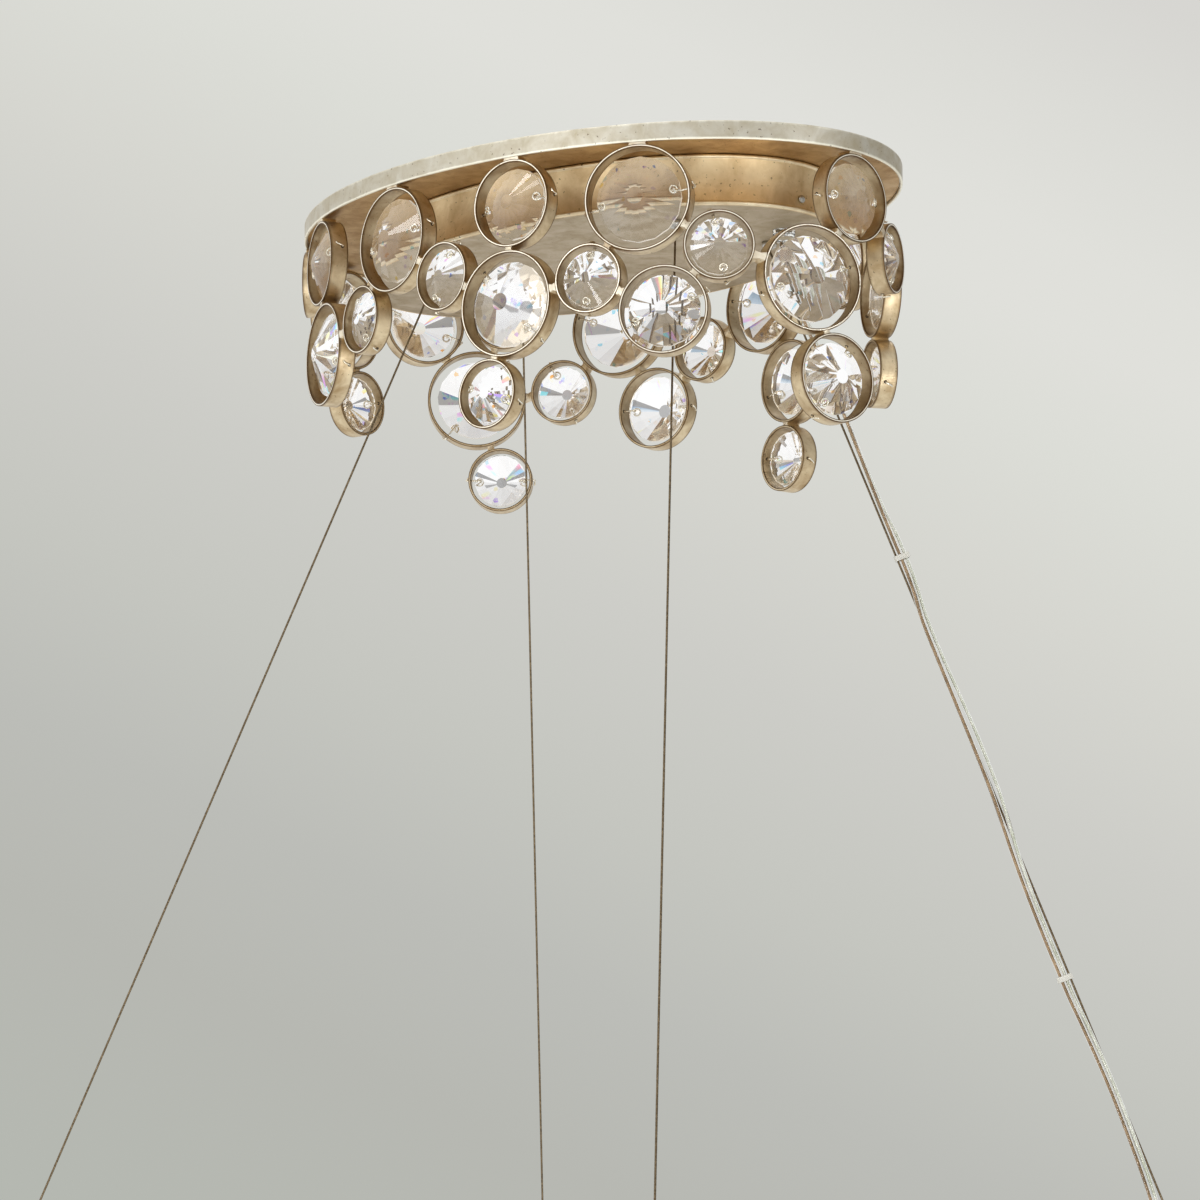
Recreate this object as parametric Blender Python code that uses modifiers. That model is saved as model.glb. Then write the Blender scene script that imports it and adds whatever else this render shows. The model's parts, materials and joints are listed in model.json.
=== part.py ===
"""A chandelier's ceiling canopy: an oval tray and pan, a curtain of rings with cut crystals, and its cables.

The long axis is X, the ceiling face is at z = 0 and everything hangs below it. Lengths are in metres.
"""

import math

import bmesh
import bpy
import numpy as np
from mathutils import Matrix, Vector

mm = 0.001

# Clearances
seat_gap = 0.3 * mm  # between pieces that touch
cut_overrun = 1 * mm  # how far a cutter runs past what it cuts
merge_distance = 0.003 * mm

# Ceiling tray
canopy_length = 520 * mm
canopy_width = 344 * mm
rim_height = 13 * mm
rim_wall = 2 * mm
plate_recess = 2 * mm  # the plate sits this far up inside the rim
plate_thickness = 1.5 * mm
wire_entry_radius = 10 * mm
wire_entry_clearance = 5 * mm  # beyond the bracket's end

# Pan under the tray
pan_end_margin = 49.5 * mm  # from the canopy's outline in to the pan's
pan_side_margin = 48.5 * mm
pan_height = 36 * mm
pan_sheet = 1.5 * mm
pan_bead = 1.4 * mm
pan_screw_drop = 27 * mm  # below the plate
pan_screw_radius = 1.5 * mm
pan_screw_head_radius = 2.8 * mm
pan_screw_head_height = 1.6 * mm
pan_lug_width = 12 * mm
pan_lug_thickness = 3 * mm
pan_lug_gap = 1.2 * mm  # clears the curve of the wall

# Ceiling bracket
bracket_length = 150 * mm
bracket_width = 28 * mm
bracket_thickness = 2.5 * mm
bracket_corner_radius = 7 * mm
bracket_screw_margin = 15 * mm  # from the bracket's end
bracket_screw_radius = 2 * mm
bracket_screw_head_radius = 4 * mm
bracket_screw_head_height = 2.4 * mm

# Strip rings, outer diameters, and their crystals
large_ring_diameter = 75 * mm
medium_ring_diameter = 62 * mm
small_ring_diameter = 49 * mm
ring_wall = 2 * mm
ring_depth = 13 * mm
large_crystal_diameter = 60 * mm
medium_crystal_diameter = 50 * mm
small_crystal_diameter = 40 * mm
crystal_girdle = 2.5 * mm
crystal_slope_deg = 26
table_share = 0.2  # of the crystal's radius

# Welds and tabs
tab_gap = 1.6 * mm  # from the rim down to the top row of rings
tab_length = 12 * mm
tab_inset = 1 * mm
weld_thickness = 2.5 * mm
weld_inset = 0.8 * mm
least_ring_gap = 1.3 * mm
weld_reach = 5 * mm

# Wire pins
pin_radius = 0.5 * mm
pin_eye_radius = 2.3 * mm
pin_eye_gap = 0.5 * mm  # room for the crystal to rock under the eye
pin_back_gap = 0.4 * mm
pin_tail = 6 * mm
pin_hole_inset = 4 * mm  # from the crystal's edge
crystal_hole_radius = 1.4 * mm

# Cables, their fittings and the supply cords
cable_radius = 0.8 * mm
cable_end_margin = 78.5 * mm  # from the pan's outline in to the cable
cable_side_margin = 77.5 * mm
cable_foot_drop = 745 * mm
gripper_radius = 5 * mm
gripper_height = 18 * mm
gripper_neck_radius = 3.5 * mm
gripper_top_share = 0.6  # of its radius, left flat at the top
bushing_radius = 5.5 * mm
bushing_height = 4.5 * mm
bushing_tip_share = 0.5  # of its radius
sleeve_radius = 2 * mm
sleeve_length = 12 * mm
eye_radius = 4 * mm
cord_radius = 1.5 * mm
gland_end_margin = 45.5 * mm  # from the pan's end
gland_y = 28 * mm
gland_radius = 8 * mm
gland_height = 8 * mm
gland_neck_radius = 6 * mm
gland_tip_share = 0.7  # of its radius
cord_spacing = 3.4 * mm
connector_length = 12 * mm
connector_width = 6.7 * mm
connector_thickness = 4.5 * mm
clip_length = 6 * mm
clip_wall = 0.9 * mm
clip_gap = 0.4 * mm
clip_drops = (276 * mm, 570 * mm)
terminal_length = 44 * mm
terminal_width = 18 * mm
terminal_height = 14 * mm
terminal_edge = 1.4 * mm

# Facets of the turned shapes
rim_steps = 64
pan_steps = 40
ring_steps = 16
crystal_facets = 12
round_steps = 12
gripper_steps = 10
small_steps = 8
crystal_hole_steps = 6
pin_eye_steps = 5
eye_wire_steps = 6
clip_steps = 12

# One ring to a line: its number, size, place round the oval, drop below the ceiling, and its pins' angle.
# The place is a share of the way round from the +X end, and the drop a share of curtain_depth. A ring with
# no drop hangs straight from the rim.
curtain_depth = 200 * mm
ring_place_shares = [
    (1, "medium", 0.643, None, 12),
    (2, "large", 0.729, None, 8),
    (3, "medium", 0.817, None, 6),
    (4, "large", 0.889, None, 10),
    (5, "medium", 0.003, None, 2),
    (6, "small", 0.039, 0.388, 90),
    (7, "small", 0.699, 0.511, 115),
    (8, "small", 0.770, 0.440, 65),
    (9, "large", 0.814, 0.579, 132),
    (10, "small", 0.862, 0.527, 85),
    (11, "medium", 0.902, 0.653, 22),
    (12, "small", 0.930, 0.434, 100),
    (13, "large", 0.976, 0.532, 20),
    (14, "large", 0.651, 0.576, 158),
    (15, "small", 0.802, 0.886, 160),
    (16, "medium", 0.990, 0.869, 60),
    (17, "medium", 0.120, 0.392, 160),
    (18, "small", 0.125, 0.675, 25),
    (19, "small", 0.571, None, 45),
    (20, "large", 0.521, None, 35),
    (21, "medium", 0.467, None, 20),
    (22, "large", 0.436, 0.514, 128),
    (23, "small", 0.385, 0.493, 65),
    (24, "small", 0.422, 0.828, 0),
    (25, "large", 0.350, None, 18),
    (26, "small", 0.292, 0.389, 70),
    (27, "medium", 0.325, 0.591, 2),
    (28, "large", 0.244, None, 12),
    (29, "medium", 0.221, 0.583, 165),
    (30, "small", 0.226, 0.869, 8),
    (31, "medium", 0.163, None, 5),
    (32, "small", 0.511, 0.571, 170),
    (33, "small", 0.420, None, 20),
]
front_welds = "1-14 14-7 7-2 2-8 8-9 3-9 9-15 9-10 10-4 10-11 11-12 4-12 12-13"
right_end_welds = "13-5 13-16 5-6"
back_welds = "31-17 17-18 28-29 29-30 28-26 26-27 27-25 25-23 23-22 22-33 22-24 22-21 21-20 20-32 20-19"
ring_groups = {
    "rings_front": "1 2 3 4 7 8 9 10 11 12 14 15",
    "rings_right_end": "5 6 13 16",
    "rings_back_right": "17 18 31",
    "rings_back_middle": "25 26 27 28 29 30",
    "rings_back_left": "19 20 21 22 23 24 32 33",
}
settling_rounds = 400
outline_steps = 1440
ring_radii = {
    "large": large_ring_diameter / 2,
    "medium": medium_ring_diameter / 2,
    "small": small_ring_diameter / 2,
}
crystal_radii = {
    "large": large_crystal_diameter / 2,
    "medium": medium_crystal_diameter / 2,
    "small": small_crystal_diameter / 2,
}

# Lower ends of the cables, in plan
cable_feet = {
    "steel_cable_front_left": (-330 * mm, -253 * mm),
    "steel_cable_back_left": (-327 * mm, 244 * mm),
    "steel_cable_front_right": (324 * mm, -248 * mm),
    "steel_cable_back_right": (322 * mm, 244 * mm),
}

# Route of the two supply cords: the drop below the ceiling, then each cord's place beside the back right
# cable, sideways and in depth.
cord_route = [
    (75 * mm, (0.6 * mm, -35.5 * mm), (4 * mm, -35.5 * mm)),
    (105 * mm, (0.5 * mm, -30 * mm), (2.8 * mm, -27.2 * mm)),
    (140 * mm, (2.2 * mm, -20 * mm), (3.6 * mm, -16.7 * mm)),
    (170 * mm, (3.4 * mm, -10 * mm), (4.6 * mm, -6.6 * mm)),
    (205 * mm, (3.4 * mm, -3.4 * mm), (4.4 * mm, 0.1 * mm)),
    (240 * mm, (2.9 * mm, -1.6 * mm), (4.8 * mm, 1.4 * mm)),
    (262 * mm, (2.8 * mm, -0.2 * mm), (6.2 * mm, 0.2 * mm)),
    (284 * mm, (2.9 * mm, -0.3 * mm), (6.2 * mm, 0)),
    (301 * mm, (1.7 * mm, -2.8 * mm), (5 * mm, -1 * mm)),
    (320 * mm, (-0.4 * mm, -3.2 * mm), (3.2 * mm, -0.9 * mm)),
    (350 * mm, (-0.8 * mm, -3.2 * mm), (3.1 * mm, -0.8 * mm)),
    (400 * mm, (-1 * mm, -3.2 * mm), (4.4 * mm, -1 * mm)),
    (440 * mm, (-1.6 * mm, -3 * mm), (3.6 * mm, -2.2 * mm)),
    (465 * mm, (-3.2 * mm, -1.8 * mm), (1.2 * mm, -3.4 * mm)),
    (490 * mm, (-4.8 * mm, -0.8 * mm), (-1.4 * mm, -3.1 * mm)),
    (515 * mm, (-5.8 * mm, -0.3 * mm), (-2.5 * mm, -1.8 * mm)),
    (545 * mm, (-6.3 * mm, 0), (-2.9 * mm, -0.1 * mm)),
    (564 * mm, (-6.2 * mm, 0), (-2.8 * mm, 0)),
    (582 * mm, (-6.2 * mm, 0), (-2.8 * mm, 0)),
    (604 * mm, (-5.3 * mm, -1.2 * mm), (-1.9 * mm, -2.9 * mm)),
    (645 * mm, (-4.3 * mm, -1.4 * mm), (-0.8 * mm, -3.2 * mm)),
    (690 * mm, (-5.4 * mm, -0.8 * mm), (-2 * mm, -2.4 * mm)),
    (714 * mm, (-6.8 * mm, -0.3 * mm), (-3.4 * mm, -0.4 * mm)),
    (733 * mm, (-8.6 * mm, 0), (-5.2 * mm, 0)),
]
cord_steps = 38
route_steps = 12

# Colour, roughness and metallic value of each finish
finishes = {
    "champagne": ((0.78, 0.70, 0.55), 0.32, 1.0),
    "bronze": ((0.42, 0.33, 0.22), 0.35, 1.0),
    "steel": ((0.62, 0.62, 0.62), 0.3, 1.0),
    "crystal": ((0.92, 0.94, 0.96), 0.03, 0.0),
    "clear_plastic": ((0.85, 0.87, 0.86), 0.15, 0.0),
    "white_plastic": ((0.85, 0.85, 0.82), 0.4, 0.0),
}

up = Vector((0, 0, 1))
ends = ("left", "right")
ring_sizes = {number: size for number, size, *rest in ring_place_shares}
weld_list = " ".join((front_welds, right_end_welds, back_welds))
welded_rings = [tuple(map(int, pair.split("-"))) for pair in weld_list.split()]
canopy_a = canopy_length / 2
canopy_b = canopy_width / 2
pan_a = canopy_a - pan_end_margin
pan_b = canopy_b - pan_side_margin
cable_x = pan_a - cable_end_margin
cable_y = pan_b - cable_side_margin
gland_x = pan_a - gland_end_margin
bracket_screw_x = bracket_length / 2 - bracket_screw_margin
wire_entry_x = bracket_length / 2 + wire_entry_clearance
plate_bottom = -rim_height + plate_recess
plate_top = plate_bottom + plate_thickness
pan_top = plate_bottom - seat_gap
pan_base = pan_top - pan_height

for old in list(bpy.data.objects):
    bpy.data.objects.remove(old, do_unlink=True)
parts = bpy.data.collections.new("chandelier")
cutters = bpy.data.collections.new("cutters")
bpy.context.scene.collection.children.link(parts)
bpy.context.scene.collection.children.link(cutters)


def paint(piece, finish):
    """Gives a piece a material of its own."""
    colour, roughness, metallic = finishes[finish]
    material = bpy.data.materials.new(piece.name)
    material.use_nodes = True
    shader = material.node_tree.nodes["Principled BSDF"]
    shader.inputs["Base Color"].default_value = (*colour, 1)
    shader.inputs["Roughness"].default_value = roughness
    shader.inputs["Metallic"].default_value = metallic
    piece.data.materials.clear()
    piece.data.materials.append(material)


def add_piece(name, data, finish, place=Matrix()):
    """Links a mesh or curve as a named piece of the lamp."""
    piece = bpy.data.objects.new(name, data)
    parts.objects.link(piece)
    piece.matrix_world = place
    paint(piece, finish)
    return piece


def mesh_from(bm, name, smooth_deg=35):
    """Turns a bmesh into a mesh with its faces pointing out and its round sides smooth."""
    bmesh.ops.recalc_face_normals(bm, faces=bm.faces)
    mesh = bpy.data.meshes.new(name)
    bm.to_mesh(mesh)
    bm.free()
    mesh.shade_smooth()
    mesh.set_sharp_from_angle(angle=math.radians(smooth_deg))
    return mesh


def combine(piece, bm, operation):
    """Cuts the solids of a bmesh out of a piece, or joins them to it."""
    name = f"{piece.name}_{operation.lower()}"
    tool = bpy.data.objects.new(name, mesh_from(bm, name))
    cutters.objects.link(tool)
    tool.hide_render = True
    tool.display_type = "WIRE"
    boolean = piece.modifiers.new(operation.lower(), "BOOLEAN")
    boolean.operation = operation
    boolean.solver = "EXACT"
    boolean.object = tool
    return piece


def cut(piece, bm):
    """Cuts the solids of a bmesh out of a piece."""
    return combine(piece, bm, "DIFFERENCE")


def join(piece, bm):
    """Joins the solids of a bmesh to a piece that they reach into."""
    return combine(piece, bm, "UNION")


def cylinder(bm, radius, length, place, steps=round_steps):
    """Adds a closed cylinder along the local Z of place, centred on it."""
    bmesh.ops.create_cone(
        bm, cap_ends=True, segments=steps, radius1=radius, radius2=radius, depth=length, matrix=place
    )


def box(bm, size, place):
    """Adds a closed box of that size, centred on place."""
    bmesh.ops.create_cube(bm, size=1, matrix=place @ Matrix.Diagonal((*size, 1)))


def along(start, end):
    """A frame centred between two points, with its Z from one to the other."""
    axis = end - start
    return Matrix.Translation((start + end) / 2) @ axis.to_track_quat("Z", "Y").to_matrix().to_4x4()


def turned(name, profile, finish, place=Matrix(), steps=round_steps):
    """A piece turned round its Z from a profile of (radius, height), its outer side from the top down."""
    bm = bmesh.new()
    spun(bm, profile, place, steps)
    return add_piece(name, mesh_from(bm, name), finish)


def spun(bm, profile, place, steps, closed=False):
    """Adds a solid turned round the place's Z. A closed profile leaves a hole along the axis."""
    body = bmesh.new()
    verts = [body.verts.new((radius, 0, height)) for radius, height in profile]
    pairs = list(zip(verts, verts[1:]))
    if closed:
        pairs.append((verts[-1], verts[0]))
    edges = [body.edges.new(pair) for pair in pairs]
    bmesh.ops.spin(
        body, geom=verts + edges, axis=up, cent=(0, 0, 0), angle=math.tau, steps=steps, use_merge=True
    )
    bmesh.ops.remove_doubles(body, verts=body.verts, dist=merge_distance)
    bmesh.ops.transform(body, matrix=place, verts=body.verts)
    add_to(bm, body)


def add_to(bm, body):
    """Adds a bmesh's solids to another, and frees it."""
    mesh = bpy.data.meshes.new("body")
    body.to_mesh(mesh)
    body.free()
    bm.from_mesh(mesh)
    bpy.data.meshes.remove(mesh)


def oval_band(name, half_length, half_width, profile, wall, finish, steps):
    """A sheet wall round an oval, from a profile of (outset, height), thickened inwards."""
    bm = bmesh.new()
    bmesh.ops.create_circle(bm, segments=steps, radius=1)
    edges = bm.edges[:]
    verts = bm.verts[:]
    last = (1, 1)
    for outset, height in profile:
        if last != (1, 1):
            made = bmesh.ops.extrude_edge_only(bm, edges=edges)["geom"]
            verts = [g for g in made if isinstance(g, bmesh.types.BMVert)]
            edges = [g for g in made if isinstance(g, bmesh.types.BMEdge) and set(g.verts) <= set(verts)]
        size = (half_length + outset, half_width + outset)
        for v in verts:
            v.co = (v.co.x / last[0] * size[0], v.co.y / last[1] * size[1], height)
        last = size
    piece = add_piece(name, mesh_from(bm, name), finish)
    sheet = piece.modifiers.new("sheet", "SOLIDIFY")
    sheet.thickness = wall
    sheet.offset = -1
    sheet.use_even_offset = True
    return piece


def oval_plate(name, half_length, half_width, bottom, thickness, finish, steps):
    """A flat oval plate."""
    bm = bmesh.new()
    size = Matrix.Diagonal((half_length, half_width, 1, 1)) @ Matrix.Rotation(math.pi / 2, 4, "Z")
    cylinder(bm, 1, thickness, Matrix.Translation((0, 0, bottom + thickness / 2)) @ size, steps)
    return add_piece(name, mesh_from(bm, name), finish)


def oval_point(turn, inset=0):
    """A point of the canopy's outline at that turn, moved inwards by the inset."""
    normal = Vector((canopy_b * math.cos(turn), canopy_a * math.sin(turn), 0)).normalized()
    return Vector((canopy_a * math.cos(turn), canopy_b * math.sin(turn), 0)) - inset * normal


def measured_outline():
    """Turns round the outline, and the length walked to each along the rings' inner edge."""
    turns = np.linspace(0, math.tau, outline_steps + 1)
    path = np.array([oval_point(turn, ring_depth) for turn in turns])
    walked = np.concatenate([[0], np.cumsum(np.linalg.norm(np.diff(path, axis=0), axis=1))])
    return turns, walked


outline_turns, outline_walked = measured_outline()
outline_length = float(outline_walked[-1])


def settled_rings():
    """Each ring's place round the oval and its height, nudged until none touch and welded ones lie close."""
    radii = {number: ring_radii[size] for number, size in ring_sizes.items()}
    place = {number: share * outline_length for number, size, share, *rest in ring_place_shares}
    hung = [number for number, size, share, drop_share, pin in ring_place_shares if drop_share is None]
    height = {}
    for number, size, share, drop_share, pin in ring_place_shares:
        if number in hung:
            height[number] = -rim_height - tab_gap - radii[number]
        else:
            height[number] = -drop_share * curtain_depth
    welded = {frozenset(pair) for pair in welded_rings}
    numbers = sorted(radii)
    for _ in range(settling_rounds):
        for i, a in enumerate(numbers):
            for b in numbers[i + 1 :]:
                across = (place[b] - place[a] + outline_length / 2) % outline_length - outline_length / 2
                rise = height[b] - height[a]
                apart = math.hypot(across, rise)
                least = radii[a] + radii[b] + least_ring_gap
                most = least - least_ring_gap + weld_reach if frozenset((a, b)) in welded else math.inf
                if least <= apart <= most:
                    continue
                move = (min(max(apart, least), most) - apart) / apart / 2
                place[a] -= across * move
                place[b] += across * move
                height[a] -= 0 if a in hung else rise * move
                height[b] += 0 if b in hung else rise * move
    return place, height


ring_place, ring_height = settled_rings()


def ring_frame(number):
    """A ring's frame: X forward round the oval, Y up and Z out, centred in the ring's front plane."""
    turn = float(np.interp(ring_place[number] % outline_length, outline_walked, outline_turns))
    forward = Vector((-canopy_a * math.sin(turn), canopy_b * math.cos(turn), 0)).normalized()
    frame = Matrix((forward, up, forward.cross(up))).transposed().to_4x4()
    return Matrix.Translation(oval_point(turn) + up * ring_height[number]) @ frame


def wall_reach(radius, angle):
    """How far the faceted ring reaches in that direction from its centre."""
    facet = math.tau / ring_steps
    return radius * math.cos(facet / 2) / math.cos(angle % facet - facet / 2)


def crystal_shape(size):
    """A crystal's edge, table radius, dome height and facet slope, seen at the middle of a facet."""
    radius = crystal_radii[size]
    edge = radius * math.cos(math.pi / crystal_facets)
    rise = radius * (1 - table_share) * math.tan(math.radians(crystal_slope_deg))
    return radius, edge, rise, math.atan2(rise, edge * (1 - table_share))


def balance_height(size):
    """Height of the crystal's centre of mass above its flat back."""
    radius, edge, rise, slope = crystal_shape(size)
    dome_share = (1 + table_share + table_share**2) / 3
    centre_share = (1 + 2 * table_share + 3 * table_share**2) / (4 * (1 + table_share + table_share**2))
    dome = rise * dome_share
    return (crystal_girdle**2 / 2 + dome * (crystal_girdle + rise * centre_share)) / (crystal_girdle + dome)


def back_depth():
    """Height of a crystal's flat back in its ring's frame."""
    return -(ring_depth + crystal_girdle) / 2


def crystal_mesh(size):
    """A flat backed crystal with long facets up to a small table, drilled for its pins.

    Its origin is on its axis, at its centre of mass.
    """
    radius, edge, rise, slope = crystal_shape(size)
    bm = bmesh.new()
    lift = crystal_girdle - balance_height(size)
    half_facet = Matrix.Rotation(math.pi / crystal_facets, 4, "Z")
    bmesh.ops.create_cone(
        bm,
        cap_ends=True,
        segments=crystal_facets,
        radius1=radius,
        radius2=radius * table_share,
        depth=rise,
        matrix=Matrix.Translation((0, 0, lift + rise / 2)) @ half_facet,
    )
    base = min(bm.faces, key=lambda face: face.calc_center_median().z)
    made = bmesh.ops.extrude_discrete_faces(bm, faces=[base])["faces"]
    bmesh.ops.translate(bm, verts=made[0].verts[:], vec=(0, 0, -crystal_girdle))
    rim_edges = [edge_ for edge_ in bm.edges if edge_.is_boundary]
    bmesh.ops.bridge_loops(bm, edges=rim_edges)
    blank = bpy.data.objects.new("blank", mesh_from(bm, "blank", 1))
    cutters.objects.link(blank)
    drill = bmesh.new()
    for side in (-1, 1):
        place = Matrix.Translation((side * (edge - pin_hole_inset), 0, 0))
        cylinder(drill, crystal_hole_radius, 2 * (crystal_girdle + rise), place, crystal_hole_steps)
    cut(blank, drill)
    solid = evaluated_mesh(blank)
    bpy.data.objects.remove(blank.modifiers[0].object)
    bpy.data.objects.remove(blank)
    return solid


def make_crystals():
    """One crystal in each ring, turned so that its holes lie along its pins."""
    shapes = {size: crystal_mesh(size) for size in ring_radii}
    for number, size, share, drop_share, pin in ring_place_shares:
        lift = Matrix.Translation((0, 0, back_depth() + balance_height(size)))
        place = ring_frame(number) @ Matrix.Rotation(math.radians(pin), 4, "Z") @ lift
        add_piece(f"crystal_{number:02d}", shapes[size].copy(), "crystal", place)


def evaluated_mesh(piece):
    """A new mesh of a piece as its modifiers or its bevel leave it."""
    bpy.context.view_layer.update()
    return bpy.data.meshes.new_from_object(piece.evaluated_get(bpy.context.evaluated_depsgraph_get()))


def wires(bm, lines, radius, resolution):
    """Adds round wires or cords with flat ends, one through each list of points."""
    curve = bpy.data.curves.new("wires", "CURVE")
    curve.dimensions = "3D"
    curve.bevel_depth = radius
    curve.bevel_resolution = resolution
    curve.use_fill_caps = True
    for line in lines:
        spline = curve.splines.new("POLY")
        spline.points.add(len(line) - 1)
        for point, place in zip(spline.points, line):
            point.co = (*place, 1)
    guide = bpy.data.objects.new("wires", curve)
    cutters.objects.link(guide)
    mesh = evaluated_mesh(guide)
    body = bmesh.new()
    body.from_mesh(mesh)
    bmesh.ops.remove_doubles(body, verts=body.verts, dist=merge_distance)
    add_to(bm, body)
    bpy.data.objects.remove(guide)
    bpy.data.meshes.remove(mesh)


def pin_line(size):
    """A pin's line in the ring's frame, its ring hole towards +X: eye, shank, back run and bent tail."""
    radius, edge, rise, slope = crystal_shape(size)
    hole = edge - pin_hole_inset
    face = back_depth() + crystal_girdle + pin_hole_inset * math.tan(slope)
    tilt = Matrix.Rotation(slope, 4, "Y")
    centre = Vector((hole, 0, face)) + tilt @ Vector((0, 0, pin_radius + pin_eye_gap))
    line = []
    for step in range(pin_eye_steps):
        angle = math.tau * (step + 0.5) / pin_eye_steps
        line.append(centre + tilt @ Vector((math.cos(angle), math.sin(angle), 0)) * pin_eye_radius)
    run = back_depth() - pin_back_gap - pin_radius
    outside = ring_radii[size] + seat_gap + pin_radius
    line.append(Vector((hole, 0, centre.z)))
    line.append(Vector((hole, 0, run)))
    line.append(Vector((outside, 0, run)))
    line.append(Vector((outside, 0, run + pin_tail)))
    return line


def add_weld(bm, a, b, apart):
    """Adds the bridging plate from ring a's wall to ring b's, nearly as deep as the strips.

    It reaches into a's wall, and into b's too unless the two rings are apart.
    """
    across = (ring_place[b] - ring_place[a] + outline_length / 2) % outline_length - outline_length / 2
    angle = math.atan2(ring_height[b] - ring_height[a], across)
    corners = []
    for number, facing, clear in ((a, angle, False), (b, angle + math.pi, apart)):
        reach = wall_reach(ring_radii[ring_sizes[number]], facing) + (seat_gap if clear else -ring_wall / 2)
        plate = ring_frame(number) @ Matrix.Rotation(facing, 4, "Z")
        for side in (-weld_thickness / 2, weld_thickness / 2):
            for depth in (-weld_inset, weld_inset - ring_depth):
                corners.append(bm.verts.new(plate @ Vector((reach, side, depth))))
    bmesh.ops.convex_hull(bm, input=corners)


def add_tab(bm, number):
    """Adds the flat tab from the wall of a ring in the top row up to the rim's lower edge."""
    radius = ring_radii[ring_sizes[number]]
    top = radius + tab_gap - seat_gap
    bottom = wall_reach(radius, math.pi / 2) - ring_wall / 2
    size = (tab_length, top - bottom, ring_depth - 2 * tab_inset)
    box(bm, size, ring_frame(number) @ Matrix.Translation((0, (top + bottom) / 2, -ring_depth / 2)))


def make_rings():
    """The curtain of strip rings, one welded piece for each side, with its welds, tabs and wire pins."""
    for name, listed in ring_groups.items():
        members = set(map(int, listed.split()))
        rings = bmesh.new()
        fixings = bmesh.new()
        lines = []
        for number, size, share, drop_share, pin in ring_place_shares:
            if number not in members:
                continue
            outer = ring_radii[size]
            inner = outer - ring_wall
            strip = [(outer, 0), (outer, -ring_depth), (inner, -ring_depth), (inner, 0)]
            spun(rings, strip, ring_frame(number), ring_steps, closed=True)
            if drop_share is None:
                add_tab(fixings, number)
            for turn in (0, math.pi):
                place = ring_frame(number) @ Matrix.Rotation(math.radians(pin) + turn, 4, "Z")
                lines.append([place @ point for point in pin_line(size)])
        for a, b in welded_rings:
            if a in members:
                add_weld(fixings, a, b, b not in members)
        wires(fixings, lines, pin_radius, 0)
        join(add_piece(name, mesh_from(rings, name), "champagne"), fixings)


def make_tray():
    """The rim, and the plate set up inside it, drilled for the supply wires and the screws."""
    profile = [(0, 0), (0, -rim_height)]
    oval_band("canopy_rim", canopy_a, canopy_b, profile, rim_wall, "champagne", rim_steps)
    inset = rim_wall + seat_gap
    plate = oval_plate(
        "canopy_plate", canopy_a - inset, canopy_b - inset, plate_bottom, plate_thickness, "bronze", rim_steps
    )
    add_lugs(plate)
    drill = bmesh.new()
    length = plate_thickness + 2 * cut_overrun
    height = plate_bottom + plate_thickness / 2
    cylinder(drill, wire_entry_radius, length, Matrix.Translation((wire_entry_x, 0, height)))
    for side in (-1, 1):
        place = Matrix.Translation((side * bracket_screw_x, 0, height))
        cylinder(drill, bracket_screw_radius + seat_gap, length, place)
    length = 2 * (pan_sheet + pan_lug_gap + pan_lug_thickness + cut_overrun)
    for place in pan_screw_places():
        cylinder(drill, pan_screw_radius + seat_gap, length, place, small_steps)
    cut(plate, drill)


def make_bracket():
    """The bar on the ceiling, and the two screws that hold the plate to it."""
    bm = bmesh.new()
    box(
        bm,
        (bracket_length, bracket_width, bracket_thickness),
        Matrix.Translation((0, 0, -bracket_thickness / 2)),
    )
    corners = [e for e in bm.edges if abs(e.verts[0].co.z - e.verts[1].co.z) > bracket_thickness / 2]
    bmesh.ops.bevel(
        bm, geom=corners, offset=bracket_corner_radius, segments=3, profile=0.5, affect="EDGES", material=-1
    )
    bracket = add_piece("ceiling_bracket", mesh_from(bm, "ceiling_bracket"), "steel")
    drill = bmesh.new()
    places = [Matrix.Translation((side * bracket_screw_x, 0, 0)) for side in (-1, 1)]
    for place in places:
        cylinder(drill, bracket_screw_radius + seat_gap, 2 * (bracket_thickness + cut_overrun), place)
    cut(bracket, drill)
    head = plate_bottom - seat_gap
    profile = [
        (0, -seat_gap),
        (bracket_screw_radius, -seat_gap),
        (bracket_screw_radius, head),
        (bracket_screw_head_radius, head),
        (bracket_screw_head_radius, head - bracket_screw_head_height),
        (0, head - bracket_screw_head_height),
    ]
    for end, place in zip(ends, places):
        turned("bracket_screw_" + end, profile, "steel", place)


def pan_screw_places():
    """Frames of the pan's side screws, one at each end, with Z outwards along the screw from the wall."""
    height = plate_bottom - pan_screw_drop
    return [
        Matrix.Translation((side * pan_a, 0, height)) @ Matrix.Rotation(side * math.pi / 2, 4, "Y")
        for side in (-1, 1)
    ]


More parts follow.
